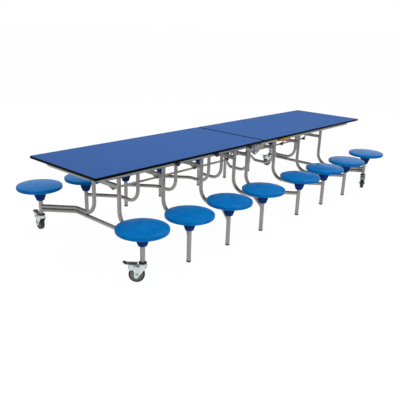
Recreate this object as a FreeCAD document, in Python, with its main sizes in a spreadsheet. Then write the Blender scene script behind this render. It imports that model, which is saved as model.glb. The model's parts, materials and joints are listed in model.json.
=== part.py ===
import FreeCAD, Part
import math
import os

import Sketcher
from FreeCAD import Placement, Rotation, Vector

# Folding mess table with sixteen swivelling stools.  X runs along the table, Y across it, Z up.
# The origin is on the floor below the centre hinge.  Every sub-part is drawn once, for the half on
# the +X side; the other half is the same set turned half round about Z.  Lengths are millimetres.

FRAMES_PER_HALF = 4

DIMENSIONS = {
    # top and edging
    "top_length": 3390,
    "top_width": 750,
    "top_height": 665,
    "board_thick": 18,
    "edging_thick": 3,
    "end_corner_radius": 14,
    "centre_corner_radius": 8,
    "centre_gap": 10,
    # rails under the top: pressed gutters, open upwards and closed by the board
    "rail_depth": 30,
    "rail_width": 20,
    "rail_wall": 2,
    "side_overhang": 40,
    "end_overhang": 38,
    "centre_setback": 20,
    "runner_width": 39,
    "frame_corner_radius": 150,
    # ears that carry the leg frames
    "ear_thick": 4,
    "ear_radius": 15.5,
    "pivot_drop": 19,
    "pivot_pin_dia": 12,
    "pin_head_dia": 19,
    "pin_head_thick": 3,
    # leg frames
    "first_frame": 88,
    "end_frame_setback": 356,
    "leg_row": 145,
    "tube_dia": 30,
    "tube_wall": 2,
    "leg_plug": 24,
    "leg_bend_radius": 110,
    "arm_height": 200,
    "knee_radius": 60,
    "post_spread": 215,
    "post_reach": 177,
    "post_dia": 32,
    "post_top": 300,
    "post_cap": 6,
    "lower_arm_drop": 29.5,
    "cross_rail_drop": 112,
    "cross_rail_depth": 28,
    "cross_rail_width": 25,
    # parallel link that keeps the leg frames upright
    "link_row": 25,
    "link_offset": 45,
    "link_drop": 155,
    "bracket_thick": 5,
    "bracket_boss": 16,
    "link_thick": 6,
    "link_depth": 16,
    "link_bolt_dia": 10,
    "bolt_head_dia": 18,
    "bolt_head_thick": 6,
    "knob_dia": 26,
    "knob_thick": 11,
    # centre hinge
    "hinge_row": 292,
    "hinge_drop": 72,
    "hinge_plate_thick": 5,
    "hinge_boss": 15,
    "hinge_plate_reach": 145,
    "hinge_pin_dia": 14,
    "hinge_head_dia": 24,
    "hinge_head_thick": 5,
    # stools
    "seat_dia": 340,
    "seat_height": 363,
    "seat_thick": 33,
    "seat_crown": 7,
    "seat_edge_radius": 11,
    "seat_under_radius": 13,
    "castor_seat_rise": 12,
    "hub_bottom": 238,
    "hub_foot_dia": 52,
    "hub_foot_chamfer": 8,
    "hub_neck_dia": 76,
    "hub_neck_height": 274,
    "hub_waist_dia": 93,
    "hub_waist_height": 296,
    "hub_flange_dia": 120,
    "hub_flange_thick": 5,
    "hub_rib_thick": 3,
    "hub_rib_depth": 4,
    # feet
    "foot_dia": 34,
    "foot_floor": 11,
    "foot_chamfer": 3,
    "foot_plug": 18,
    # castors
    "wheel_dia": 104,
    "wheel_width": 32,
    "tread_depth": 10,
    "hub_boss_dia": 26,
    "wheel_rim_thick": 22,
    "wheel_web_inset": 3,
    "castor_trail": 38,
    "fork_gap": 40,
    "fork_plate": 3,
    "fork_front": 52,
    "fork_lip": 16,
    "fork_back": 65,
    "fork_tip": 22,
    "fork_leg": 15,
    "wheel_headroom": 2,
    "swivel_head_dia": 55,
    "swivel_head_height": 18,
    "axle_dia": 10,
    "axle_head_dia": 16,
    "axle_head_thick": 3,
    "stem_dia": 12,
    "stem_length": 28,
    "bush_flange_dia": 52,
    "bush_flange_thick": 9,
    "bush_length": 30,
    "pedal_pivot_lead": 30,
    "pedal_tip": 125,
    "pedal_thick": 8,
    "pedal_rise": 9,
    "pedal_width": 40,
    "pedal_arm": 3,
    "pedal_pin_dia": 6,
    # trim
    "buffer_dia": 35,
    "buffer_thick": 14,
    "buffer_rise": 8,
    "buffer_offset": 45,
    "buffer_stud_dia": 10,
    "lever_start": 258,
    "lever_length": 190,
    "lever_depth": 22,
    "lever_thick": 6,
    "lever_hang": 6,
    "lever_pin_dia": 8,
    # clearances
    "running_play": 0.08,
    "press_play": 0.05,
    "face_play": 0.3,
    "side_play": 0.5,
}


class Size:
    """A length from the sheet, or a sum of such lengths: its value and the expression that gives it."""

    def __init__(self, value, text):
        self.value = value
        self.text = text

    def __add__(self, other):
        other = as_size(other)
        return Size(self.value + other.value, f"({self.text} + {other.text})")

    def __sub__(self, other):
        other = as_size(other)
        return Size(self.value - other.value, f"({self.text} - {other.text})")

    def __mul__(self, factor):
        return Size(self.value * factor, f"({self.text} * ({factor}))")

    def __truediv__(self, divisor):
        return Size(self.value / divisor, f"({self.text} / {divisor})")

    def __neg__(self):
        return self * -1

    def __radd__(self, other):
        return as_size(other) + self

    def __rsub__(self, other):
        return as_size(other) - self

    __rmul__ = __mul__


def as_size(number):
    """A Size as it is, or a plain number as a Size."""
    return number if isinstance(number, Size) else Size(number, f"({number})")


class Sheet:
    """The driving dimensions, each one a cell of the document's spreadsheet and an attribute here."""

    def __init__(self, document, dimensions):
        sheet = document.addObject("Spreadsheet::Sheet", "Sizes")
        for row, (alias, value) in enumerate(dimensions.items(), start=1):
            sheet.set(f"A{row}", alias)
            sheet.set(f"B{row}", str(value))
            sheet.setAlias(f"B{row}", alias)
            setattr(self, alias, Size(value, f"Sizes.{alias}"))


doc = FreeCAD.newDocument("FoldingTable")
D = Sheet(doc, DIMENSIONS)
doc.recompute()

# Heights and rows that several sub-parts share
half_length = D.top_length / 2
half_width = D.top_width / 2
board_bottom = D.top_height - D.board_thick
rail_bottom = board_bottom - D.rail_depth
pivot_height = rail_bottom - D.pivot_drop
hinge_height = rail_bottom - D.hinge_drop
link_height = pivot_height - D.link_drop
cross_rail_height = pivot_height - D.cross_rail_drop
inner_end = D.centre_gap / 2
rail_start = inner_end + D.centre_setback
rail_end = half_length - D.end_overhang
rail_face = half_width - D.side_overhang
knee_row = half_width
post_row = knee_row + D.post_spread
frame_pitch = (half_length - D.end_frame_setback - D.first_frame) / (FRAMES_PER_HALF - 1)
corner_place = (rail_end - D.frame_corner_radius, rail_face - D.frame_corner_radius)
crown_height = D.wheel_dia + D.wheel_headroom
crown_top = crown_height + D.fork_plate
castor_top = crown_top + D.swivel_head_height
bush_bottom = castor_top + D.face_play
end_post_bottom = bush_bottom + D.bush_flange_thick
axle_height = D.wheel_dia / 2
lever_pivot = D.lever_start + D.lever_length - D.lever_depth / 2
lever_height = rail_bottom + D.lever_depth / 2 - D.lever_hang


def frame_place(index):
    """Distance of a leg frame from the centre; frame 0 is beside the centre hinge."""
    return D.first_frame + frame_pitch * index


# ---------------------------------------------------------------- drawing helpers


def bind(thing, path, size):
    """Tie one property or sketch constraint to the sheet."""
    thing.setExpression(path, as_size(size).text)


def new_body(name):
    body = doc.addObject("PartDesign::Body", name)
    body.Label = name
    return body


def new_sketch(body, name, role, offset=0):
    """A sketch on one of the body's origin planes, moved along that plane's normal by offset."""
    sketch = body.newObject("Sketcher::SketchObject", name)
    plane = next(f for f in body.Origin.OriginFeatures if f.Role == role)
    sketch.AttachmentSupport = [(plane, "")]
    sketch.MapMode = "FlatFace"
    bind(sketch, "AttachmentOffset.Base.z", offset)
    return sketch


def hold_point(sketch, geometry, position, across, up):
    """Constraints that hold a point at two distances from the sketch's origin."""
    for kind, axis, size in (("DistanceX", -2, as_size(across)), ("DistanceY", -1, as_size(up))):
        if size.value == 0:
            sketch.addConstraint(Sketcher.Constraint("PointOnObject", geometry, position, axis))
        else:
            index = sketch.addConstraint(
                Sketcher.Constraint(kind, -1, 1, geometry, position, size.value))
            bind(sketch, f"Constraints[{index}]", size)


def polygon(sketch, points):
    """A closed outline of straight lines through points that are pairs of sizes; gives its first line."""
    corners = [Vector(as_size(across).value, as_size(up).value, 0) for across, up in points]
    count = len(corners)
    lines = [Part.LineSegment(corners[i], corners[(i + 1) % count]) for i in range(count)]
    first = sketch.addGeometry(lines, False)[0]
    sketch.addConstraint([
        Sketcher.Constraint("Coincident", first + i, 2, first + (i + 1) % count, 1)
        for i in range(count)])
    for i, (across, up) in enumerate(points):
        hold_point(sketch, first + i, 1, across, up)
    return first


def round_corner(sketch, line, radius):
    """Round the corner that a line of an outline starts from."""
    sketch.fillet(line, 1, radius.value, True, True)
    arc = sketch.GeometryCount - 2
    held = sketch.addConstraint(Sketcher.Constraint("Radius", arc, radius.value))
    bind(sketch, f"Constraints[{held}]", radius)


def rectangle(sketch, left, right, bottom, top):
    polygon(sketch, [(left, bottom), (right, bottom), (right, top), (left, top)])


def circle(sketch, across, up, diameter):
    centre = Vector(as_size(across).value, as_size(up).value, 0)
    index = sketch.addGeometry(Part.Circle(centre, Vector(0, 0, 1), diameter.value / 2), False)
    hold_point(sketch, index, 3, across, up)
    held = sketch.addConstraint(Sketcher.Constraint("Diameter", index, diameter.value))
    bind(sketch, f"Constraints[{held}]", diameter)


def pad(body, sketch, length, midplane=False, reverse=False):
    feature = body.newObject("PartDesign::Pad", "Pad")
    feature.Profile = sketch
    feature.Midplane = midplane
    feature.Reversed = reverse
    bind(feature, "Length", length)
    return feature


def pocket(body, sketch, length, midplane=False, reverse=False):
    """A cut that goes against the sketch's normal, or along it when reversed."""
    feature = body.newObject("PartDesign::Pocket", "Pocket")
    feature.Profile = sketch
    feature.Midplane = midplane
    feature.Reversed = reverse
    bind(feature, "Length", length)
    doc.recompute()
    if body.Shape.Volume >= feature.BaseFeature.Shape.Volume:
        raise RuntimeError(f"{body.Label}: {sketch.Label} cuts nothing")
    return feature


def revolve(body, sketch, turn=360):
    """The sketch turned about its vertical axis."""
    feature = body.newObject("PartDesign::Revolution", "Revolution")
    feature.Profile = sketch
    feature.ReferenceAxis = (sketch, ["V_Axis"])
    feature.Angle = turn
    return feature


def dress_edges(body, kind, size, wanted):
    """A fillet or chamfer on the edges of the body's tip that the test picks."""
    doc.recompute()
    base = body.Tip
    names = [f"Edge{i}" for i, edge in enumerate(base.Shape.Edges, start=1) if wanted(edge)]
    feature = body.newObject(f"PartDesign::{kind}", kind)
    feature.Base = (base, names)
    bind(feature, "Radius" if kind == "Fillet" else "Size", size)
    return feature


def is_upright(edge):
    """Whether an edge is a straight line along Z."""
    return edge.Curve.TypeId == "Part::GeomLine" and abs(edge.tangentAt(edge.FirstParameter).z) > 0.99


def is_ring(edge, diameter, height):
    """Whether an edge is a full level circle of the given diameter at the given height."""
    return (edge.Curve.TypeId == "Part::GeomCircle" and abs(edge.Curve.Radius * 2 - diameter) < 0.01
            and abs(edge.Curve.Center.z - height) < 0.01)


# ---------------------------------------------------------------- table top


def top_blank(name, setback):
    """One half of the top as a slab with rounded corners, drawn setback inside the full outline."""
    body = new_body(name)
    outline = new_sketch(body, f"{name}_outline", "XY_Plane", board_bottom)
    rectangle(outline, inner_end + setback, half_length - setback,
              setback - half_width, half_width - setback)
    pad(body, outline, D.board_thick)
    middle = half_length.value / 2
    for radius, outer in ((D.end_corner_radius, True), (D.centre_corner_radius, False)):
        dress_edges(body, "Fillet", radius - setback,
                    lambda edge, outer=outer: is_upright(edge)
                    and (edge.CenterOfMass.x > middle) == outer)
    return body


def make_edging(board):
    """The moulded edging: the full slab less the board that it is pressed round."""
    edging = doc.addObject("Part::Cut", "edging_master")
    edging.Base = top_blank("edging_blank", 0 * D.edging_thick)
    edging.Tool = board
    return edging


def gutters(name, outsides, insides):
    """Rails pressed as gutters, open upwards: their outlines, each less the hollow inside it."""
    body = new_body(name)
    plan = new_sketch(body, f"{name}_plan", "XY_Plane", rail_bottom)
    for box in outsides:
        rectangle(plan, *box)
    pad(body, plan, D.rail_depth)
    hollows = new_sketch(body, f"{name}_hollows", "XY_Plane", board_bottom)
    for box in insides:
        rectangle(hollows, *box)
    pocket(body, hollows, D.rail_depth - D.rail_wall)
    return body


def make_long_rails():
    """The two side rails and the two runners of one half."""
    wall = D.rail_wall
    side_in = rail_face - D.rail_width
    runner_in, runner_out = D.leg_row - D.runner_width / 2, D.leg_row + D.runner_width / 2
    runner_ends = (rail_start + D.rail_width, rail_end - D.rail_width)
    outsides, insides = [], []
    for low, high in ((side_in, rail_face), (-rail_face, -side_in)):
        outsides.append((rail_start, corner_place[0], low, high))
        insides.append((rail_start + wall, corner_place[0] + wall, low + wall, high - wall))
    for low, high in ((runner_in, runner_out), (-runner_out, -runner_in)):
        outsides.append((*runner_ends, low, high))
        insides.append((runner_ends[0] - wall, runner_ends[1] + wall, low + wall, high - wall))
    return gutters("long_rails_master", outsides, insides)


def make_cross_rails():
    """The end rails of one half, and between them short rails at and between the leg frames."""
    wall = D.rail_wall
    side_in = rail_face - D.rail_width
    runner_in, runner_out = D.leg_row - D.runner_width / 2, D.leg_row + D.runner_width / 2
    boxes = [(rail_start, rail_start + D.rail_width, -side_in, side_in),
             (rail_end - D.rail_width, rail_end, -corner_place[1], corner_place[1])]
    for step in range(2 * FRAMES_PER_HALF - 1):
        centre = D.first_frame + frame_pitch / 2 * step
        left, right = centre - D.rail_width / 2, centre + D.rail_width / 2
        for low, high in ((-side_in, -runner_out), (-runner_in, runner_in), (runner_out, side_in)):
            boxes.append((left, right, low, high))
    return gutters("cross_rails_master", boxes,
                   [(left + wall, right - wall, low - wall, high + wall) for left, right, low, high in boxes])


def make_frame_corner():
    """A quarter bend of the rail, drawn about the centre of its bend."""
    body = new_body("frame_corner")
    outer, wall = D.frame_corner_radius, D.rail_wall
    inner = outer - D.rail_width
    side = new_sketch(body, "corner_section", "XZ_Plane")
    polygon(side, [
        (inner, rail_bottom), (outer, rail_bottom), (outer, board_bottom), (outer - wall, board_bottom),
        (outer - wall, rail_bottom + wall), (inner + wall, rail_bottom + wall),
        (inner + wall, board_bottom), (inner, board_bottom)])
    revolve(body, side, turn=90)
    return body


def place_corner(master, side, turn):
    """The quarter bend at one end of the end rail."""
    bend = doc.addObject("Part::Compound", "frame_corner_part")
    bend.Links = [master]
    bend.Placement = Placement(Vector(0, 0, 0), Rotation(Vector(0, 0, 1), turn))
    bind(bend, "Placement.Base.x", corner_place[0])
    bind(bend, "Placement.Base.y", corner_place[1] * side)
    return bend


def draw_ears(sketch):
    """Side view of the ears: a round end about each pivot, run up to the runner."""
    facets = 6
    for index in range(FRAMES_PER_HALF):
        centre = frame_place(index)
        arc = []
        for step in range(facets + 1):
            angle = math.pi * step / facets
            arc.append((centre - D.ear_radius * math.cos(angle),
                        pivot_height - D.ear_radius * math.sin(angle)))
        polygon(sketch, arc + [(centre + D.ear_radius, rail_bottom), (centre - D.ear_radius, rail_bottom)])


def make_ears():
    """Ears under the runners, two to a leg, with the bores of the pivot pins."""
    body = new_body("ears_master")
    slot_in = D.leg_row - D.tube_dia / 2 - D.side_play
    slot_out = D.leg_row + D.tube_dia / 2 + D.side_play
    ear_in, ear_out = slot_in - D.ear_thick, slot_out + D.ear_thick
    for low, high in ((ear_in, slot_in), (slot_out, ear_out), (-slot_in, -ear_in), (-ear_out, -slot_out)):
        ears = new_sketch(body, "ears", "XZ_Plane", -high)
        draw_ears(ears)
        pad(body, ears, high - low)
    holes = new_sketch(body, "pivot_holes", "XZ_Plane")
    for index in range(FRAMES_PER_HALF):
        circle(holes, frame_place(index), pivot_height, D.pivot_pin_dia + 2 * D.press_play)
    pocket(body, holes, 2 * ear_out + D.rail_width, midplane=True)
    return body


def make_hinge_plates():
    """The two hinge plates of one half: a boss round the pin and a wedge that runs out under the rails."""
    body = new_body("hinge_plates_master")
    inner, outer = hinge_plate_rows()
    for low, high in (inner, (-outer[1], -outer[0])):
        plate = new_sketch(body, "hinge_plate", "XZ_Plane", -high)
        polygon(plate, [
            (-D.hinge_boss, hinge_height - D.hinge_boss / 2),
            (-D.hinge_boss / 2, hinge_height - D.hinge_boss),
            (D.hinge_boss / 2, hinge_height - D.hinge_boss),
            (D.hinge_plate_reach, rail_bottom - D.rail_width / 2),
            (D.hinge_plate_reach, rail_bottom),
            (-D.hinge_boss, rail_bottom)])
        pad(body, plate, high - low)
    holes = new_sketch(body, "hinge_holes", "XZ_Plane")
    circle(holes, 0, hinge_height, D.hinge_pin_dia + 2 * D.running_play)
    pocket(body, holes, D.top_width, midplane=True)
    return body


def make_buffer_studs():
    """Studs on the outside of one side rail that the buffers are pressed on."""
    body = new_body("buffer_studs")
    studs = new_sketch(body, "buffer_studs_plan", "XZ_Plane", -rail_face)
    for index in range(FRAMES_PER_HALF - 1):
        circle(studs, frame_place(index) + D.buffer_offset, rail_bottom + D.buffer_rise, D.buffer_stud_dia)
    pad(body, studs, D.buffer_thick / 2, reverse=True)
    return body


def make_underframe():
    """The welded frame of one half as its separate rails, bends, ears, hinge plates and studs."""
    bend = make_frame_corner()
    return [make_long_rails(), make_cross_rails(), place_corner(bend, 1, 0), place_corner(bend, -1, -90),
            make_ears(), make_hinge_plates(), make_buffer_studs()]


def hinge_plate_rows():
    """Low and high Y of the inner and the outer hinge plate; the two halves' plates lie side by side."""
    inner = (D.hinge_row - D.hinge_plate_thick, D.hinge_row)
    outer = (D.hinge_row + D.face_play, D.hinge_row + D.face_play + D.hinge_plate_thick)
    return inner, outer


def make_pivot_pins():
    """The headed pins of one half that the leg frames turn on, two to a frame."""
    body = new_body("pivot_pins_master")
    reach = D.tube_dia / 2 + D.side_play + D.ear_thick
    low, high = D.leg_row - reach, D.leg_row + reach
    for start, end, diameter in (
            (low - D.pin_head_thick, high + D.pin_head_thick, D.pivot_pin_dia),
            (low - D.pin_head_thick, low, D.pin_head_dia),
            (high, high + D.pin_head_thick, D.pin_head_dia)):
        for y_low, y_high in ((start, end), (-end, -start)):
            rounds = new_sketch(body, "pins", "XZ_Plane", -y_high)
            for index in range(FRAMES_PER_HALF):
                circle(rounds, frame_place(index), pivot_height, diameter)
            pad(body, rounds, y_high - y_low)
    return body


def make_hinge_pins():
    """The two headed pins of the centre hinge."""
    body = new_body("hinge_pins_master")
    inner, outer = hinge_plate_rows()
    low, high = inner[0], outer[1]
    head = D.hinge_head_thick + D.face_play
    for start, end, diameter in (
            (low - head, high + head, D.hinge_pin_dia),
            (low - head, low - D.face_play, D.hinge_head_dia),
            (high + D.face_play, high + head, D.hinge_head_dia)):
        for y_low, y_high in ((start, end), (-end, -start)):
            rounds = new_sketch(body, "hinge_pin", "XZ_Plane", -y_high)
            circle(rounds, 0, hinge_height, diameter)
            pad(body, rounds, y_high - y_low)
    return body


def make_buffers():
    """Rubber buffers that keep the folded halves apart, pressed on studs of one side rail."""
    body = new_body("buffers_master")
    rounds = new_sketch(body, "buffers", "XZ_Plane", -rail_face)
    bores = new_sketch(body, "buffer_bores", "XZ_Plane", -rail_face)
    for index in range(FRAMES_PER_HALF - 1):
        place = (frame_place(index) + D.buffer_offset, rail_bottom + D.buffer_rise)
        circle(rounds, *place, D.buffer_dia)
        circle(bores, *place, D.buffer_stud_dia + 2 * D.press_play)
    pad(body, rounds, D.buffer_thick, reverse=True)
    pocket(body, bores, D.buffer_thick / 2 + D.face_play)
    face = (rail_face + D.buffer_thick).value
    dress_edges(body, "Fillet", D.buffer_thick / 4,
                lambda edge: edge.Curve.TypeId == "Part::GeomCircle" and edge.CenterOfMass.y > face - 0.1)
    return body


# ---------------------------------------------------------------- leg frames


def bent_path(points, radii):
    """Straight runs through the points, with a tangent arc of the given radius at each inner one."""
    edges = []
    start = points[0]
    for before, corner, after, radius in zip(points, points[1:], points[2:], radii):
        arriving = (corner - before).normalize()
        leaving = (after - corner).normalize()
        half_turn = arriving.getAngle(leaving) / 2
        setback = radius * math.tan(half_turn)
        inward = (leaving - arriving).normalize()
        middle = corner + inward * (radius / math.cos(half_turn) - radius)
        arc_start, arc_end = corner - arriving * setback, corner + leaving * setback
        edges.append(Part.makeLine(start, arc_start))
        edges.append(Part.Arc(arc_start, middle, arc_end).toShape())
        start = arc_end
    edges.append(Part.makeLine(start, points[-1]))
    return Part.Wire(edges)


def rod(path, radius):
    """A solid round bar along a path."""
    first = path.Edges[0]
    start = first.valueAt(first.FirstParameter)
    heading = first.tangentAt(first.FirstParameter)
    profile = Part.Face(Part.Wire([Part.makeCircle(radius, start, heading)]))
    return path.makePipe(profile)


def leg_path(side, drop=0):
    """From a leg's pivot down, round the big bend, out along the arm and round the knee to the post."""
    arm = D.arm_height.value
    return bent_path([
        Vector(0, side * D.leg_row.value, pivot_height.value - drop),
        Vector(0, side * D.leg_row.value, arm),
        Vector(0, side * knee_row.value, arm),
        Vector(D.post_reach.value, side * post_row.value, arm),
    ], [D.leg_bend_radius.value, D.knee_radius.value])


def lower_arm_path():
    """Level tube of an end frame, from post to post under both arms."""
    height = D.arm_height.value - D.lower_arm_drop.value
    return bent_path([
        Vector(D.post_reach.value, -post_row.value, height),
        Vector(0, -knee_row.value, height),
        Vector(0, knee_row.value, height),
        Vector(D.post_reach.value, post_row.value, height),
    ], [D.knee_radius.value, D.knee_radius.value])


def link_bracket():
    """Gusset plate under the cross rail, with a round boss for the link's bolt."""
    top = cross_rail_height.value - D.cross_rail_depth.value / 2 + D.tube_wall.value
    half_rail = D.cross_rail_width.value / 2
    boss_x, boss_z, boss = -D.link_offset.value, link_height.value, D.bracket_boss.value
    thick = D.bracket_thick.value
    y = D.link_row.value - thick / 2
    outline = [Vector(half_rail * 0.6, y, top), Vector(boss_x + boss * 0.4, y, boss_z - boss * 0.9),
               Vector(boss_x - boss * 0.9, y, boss_z + boss * 0.4), Vector(-half_rail, y, top)]
    web = Part.Face(Part.makePolygon(outline + outline[:1])).extrude(Vector(0, thick, 0))
    disc = Part.makeCylinder(boss, thick, Vector(boss_x, y, boss_z), Vector(0, 1, 0))
    return web.fuse(disc)


def cross_rail():
    """Channel between the two legs, open downwards, closed at its ends by the legs."""
    depth, width, wall = D.cross_rail_depth.value, D.cross_rail_width.value, D.tube_wall.value
    reach = D.leg_row.value
    bottom = cross_rail_height.value - depth / 2
    rail = Part.makeBox(width, 2 * reach, depth, Vector(-width / 2, -reach, bottom))
    clear = reach - D.tube_dia.value / 2 - wall / 2
    hollow = Part.makeBox(width - 2 * wall, 2 * clear, depth - wall,
                          Vector(wall - width / 2, -clear, bottom))
    return rail.cut(hollow)


def make_frame(name, on_castors):
    """One leg frame as a weldment: two bent legs, two stool posts, the cross rail and its bracket."""
    radius = D.tube_dia.value / 2
    bore = radius - D.tube_wall.value
    post_radius = D.post_dia.value / 2
    post_bore = post_radius - D.tube_wall.value
    bottom = end_post_bottom.value if on_castors else D.foot_floor.value
    top = (D.post_top + D.castor_seat_rise).value if on_castors else D.post_top.value

    bars = [cross_rail(), link_bracket()]
    bores, posts, post_bores, pin_bores = [], [], [], []
    for side in (-1, 1):
        pivot = Vector(0, side * D.leg_row.value, pivot_height.value)
        foot = Vector(D.post_reach.value, side * post_row.value, bottom)
        bars += [rod(leg_path(side), radius), Part.makeSphere(radius, pivot)]
        bores.append(rod(leg_path(side, D.leg_plug.value / 2), bore))
        posts.append(Part.makeCylinder(post_radius, top - bottom, foot))
        post_bores.append(Part.makeCylinder(post_bore, top - D.post_cap.value - bottom, foot))
        pin_bores.append(Part.makeCylinder(
            D.pivot_pin_dia.value / 2 + D.running_play.value, 2 * radius + 2,
            pivot - Vector(0, radius + 1, 0), Vector(0, 1, 0)))
    if on_castors:
        bars.append(rod(lower_arm_path(), radius))
        bores.append(rod(lower_arm_path(), bore))

    bolt_bore = Part.makeCylinder(
        D.link_bolt_dia.value / 2 + D.running_play.value, 4 * D.bracket_thick.value,
        Vector(-D.link_offset.value, D.link_row.value - 2 * D.bracket_thick.value, link_height.value),
        Vector(0, 1, 0))
    arms = bars[0].multiFuse(bars[1:]).cut(bores + posts)
    tubes = [post.cut(hollow) for post, hollow in zip(posts, post_bores)]
    shape = arms.multiFuse(tubes).cut(pin_bores + [bolt_bore]).removeSplitter()
    frame = doc.addObject("Part::Feature", name)
    frame.Label = name
    frame.Shape = shape.Solids[0] if len(shape.Solids) == 1 else shape
    return frame


def make_foot():
    """Rubber foot: a flange that the post stands on, with a plug up the tube."""
    body = new_body("foot_master")
    flange = new_sketch(body, "foot_flange", "XY_Plane")
    circle(flange, 0, 0, D.foot_dia)
    pad(body, flange, D.foot_floor)
    plug = new_sketch(body, "foot_plug", "XY_Plane", D.foot_floor)
    circle(plug, 0, 0, D.post_dia - 2 * D.tube_wall - 2 * D.press_play)
    pad(body, plug, D.foot_plug)
    dress_edges(body, "Chamfer", D.foot_chamfer, lambda edge: is_ring(edge, D.foot_dia.value, 0))
    return body


# ---------------------------------------------------------------- stools


def make_seat_pan():
    """Moulded round seat, closed below, crowned on top and rounded at the rim."""
    body = new_body("seat_pan")
    radius, top = D.seat_dia / 2, D.seat_height
    side = new_sketch(body, "seat_profile", "XZ_Plane")
    first = polygon(side, [
        (0, top), (radius / 2, top - D.seat_crown * 0.2), (radius * 0.8, top - D.seat_crown * 0.6),
        (radius, top - D.seat_crown), (radius, top - D.seat_thick), (0, top - D.seat_thick)])
    for corner, size in ((3, D.seat_edge_radius), (4, D.seat_under_radius)):
        round_corner(side, first + corner, size)
    revolve(body, side)
    return body


def make_seat_hub():
    """Ribbed flared hub under the seat; its blind bore turns on the top of the post."""
    body = new_body("seat_hub")
    top = D.seat_height - D.seat_thick
    bore, depth = D.post_dia / 2 + D.running_play, D.hub_rib_depth
    foot, neck, waist = D.hub_foot_dia / 2, D.hub_neck_dia / 2, D.hub_waist_dia / 2
    foot_top = D.hub_bottom + D.hub_foot_chamfer
    side = new_sketch(body, "hub_profile", "XZ_Plane")
    polygon(side, [
        (0, top), (D.hub_flange_dia / 2, top), (D.hub_flange_dia / 2, top - D.hub_flange_thick),
        (waist, D.hub_waist_height + depth), (waist, D.hub_waist_height), (waist - depth, D.hub_waist_height),
        (neck - depth, D.hub_neck_height), (foot, foot_top), (foot - D.hub_foot_chamfer, D.hub_bottom),
        (bore, D.hub_bottom), (bore, D.post_top + D.face_play), (0, D.post_top + D.face_play)])
    revolve(body, side)
    rib = new_sketch(body, "rib_profile", "XZ_Plane")
    polygon(rib, [
        (bore + depth, D.hub_waist_height + depth / 2), (waist - depth / 4, D.hub_waist_height + depth / 2),
        (waist - depth / 4, D.hub_waist_height), (neck, D.hub_neck_height), (foot, foot_top),
        (bore + depth, foot_top)])
    fin = pad(body, rib, D.hub_rib_thick, midplane=True)
    doc.recompute()
    ribs = body.newObject("PartDesign::PolarPattern", "ribs")
    ribs.Originals = [fin]
    ribs.Axis = (rib, ["V_Axis"])
    ribs.Angle = 360
    ribs.Occurrences = 8
    body.Tip = ribs
    return body


# ---------------------------------------------------------------- castors, drawn about the swivel axis


def make_castor_fork():
    """Pressed fork with its swivel head and stem; the wheel trails along +X."""
    body = new_body("fork_body")
    trail, width = D.castor_trail, D.fork_gap + 2 * D.fork_plate
    leg, tip = D.fork_leg, axle_height - D.fork_tip
    front, back = trail + D.fork_front, trail - D.fork_back
    side = new_sketch(body, "fork_side", "XZ_Plane")
    polygon(side, [
        (back, crown_top), (back, crown_height), (back + leg * 1.4, crown_height - leg * 1.5),
        (trail - leg * 0.9, axle_height - leg * 0.6), (trail - leg * 0.4, tip + leg * 0.15),
        (trail + leg * 0.2, tip), (trail + leg * 0.7, tip + leg * 0.25), (trail + leg, axle_height - leg * 0.6),
        (trail + leg, axle_height + leg), (trail + leg * 1.2, crown_height - leg * 1.4),
        (trail + leg * 1.8, crown_top - D.fork_lip - leg * 0.3),
        (front - leg * 0.9, crown_top - D.fork_lip - leg * 0.6), (front, crown_top - D.fork_lip),
        (front, crown_top)])
    pad(body, side, width, midplane=True)
    inside = new_sketch(body, "fork_inside", "XZ_Plane")
    rectangle(inside, back - leg, front + leg, 0, crown_height)
    pocket(body, inside, D.fork_gap, midplane=True)
    head = new_sketch(body, "swivel_head", "XY_Plane", crown_height)
    circle(head, 0, 0, D.swivel_head_dia)
    pad(body, head, D.fork_plate + D.swivel_head_height * 0.6)
    race = new_sketch(body, "swivel_race", "XY_Plane", crown_height)
    circle(race, 0, 0, D.swivel_head_dia - 2 * D.fork_plate)
    pad(body, race, D.fork_plate + D.swivel_head_height)
    stem = new_sketch(body, "stem", "XY_Plane", crown_height)
    circle(stem, 0, 0, D.stem_dia)
    pad(body, stem, D.fork_plate + D.swivel_head_height + D.stem_length)
    axle_hole = new_sketch(body, "axle_hole", "XZ_Plane")
    circle(axle_hole, trail, axle_height, D.axle_dia + 2 * D.press_play)
    pocket(body, axle_hole, 2 * width, midplane=True)
    pin = new_sketch(body, "pedal_pin", "XZ_Plane")
    circle(pin, *pedal_pivot(), D.pedal_pin_dia)
    pad(body, pin, width + 2 * (D.face_play + D.pedal_arm) + D.pedal_arm, midplane=True)
    return body


def make_axle():
    """Headed axle bolt of a castor wheel."""
    body = new_body("axle_body")
    outside = D.fork_gap + 2 * D.fork_plate
    shank = new_sketch(body, "axle_shank", "XZ_Plane")
    circle(shank, D.castor_trail, axle_height, D.axle_dia)
    pad(body, shank, outside + 2 * D.axle_head_thick, midplane=True)
    for offset in (outside / 2 + D.axle_head_thick, -outside / 2):
        head = new_sketch(body, "axle_head", "XZ_Plane", -offset)
        circle(head, D.castor_trail, axle_height, D.axle_head_dia)
        pad(body, head, D.axle_head_thick)
    return body


def make_wheel_core():
    """Moulded wheel centre with side bosses and a dished web, turned about Y."""
    body = new_body("wheel_core")
    profile = new_sketch(body, "core_profile", "XY_Plane")
    bore, boss = D.axle_dia / 2 + D.running_play, D.hub_boss_dia / 2
    rim = D.wheel_dia / 2 - D.tread_depth
    boss_half, rim_half = D.fork_gap / 2 - D.face_play, D.wheel_rim_thick / 2
    web_half, lip = rim_half - D.wheel_web_inset, D.wheel_web_inset * 2
    upper = [(bore, boss_half), (boss, boss_half), (boss, web_half), (rim - lip, web_half),
             (rim - lip, rim_half), (rim, rim_half)]
    polygon(profile, upper + [(across, -up) for across, up in reversed(upper)])
    revolve(body, profile)
    return body


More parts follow.
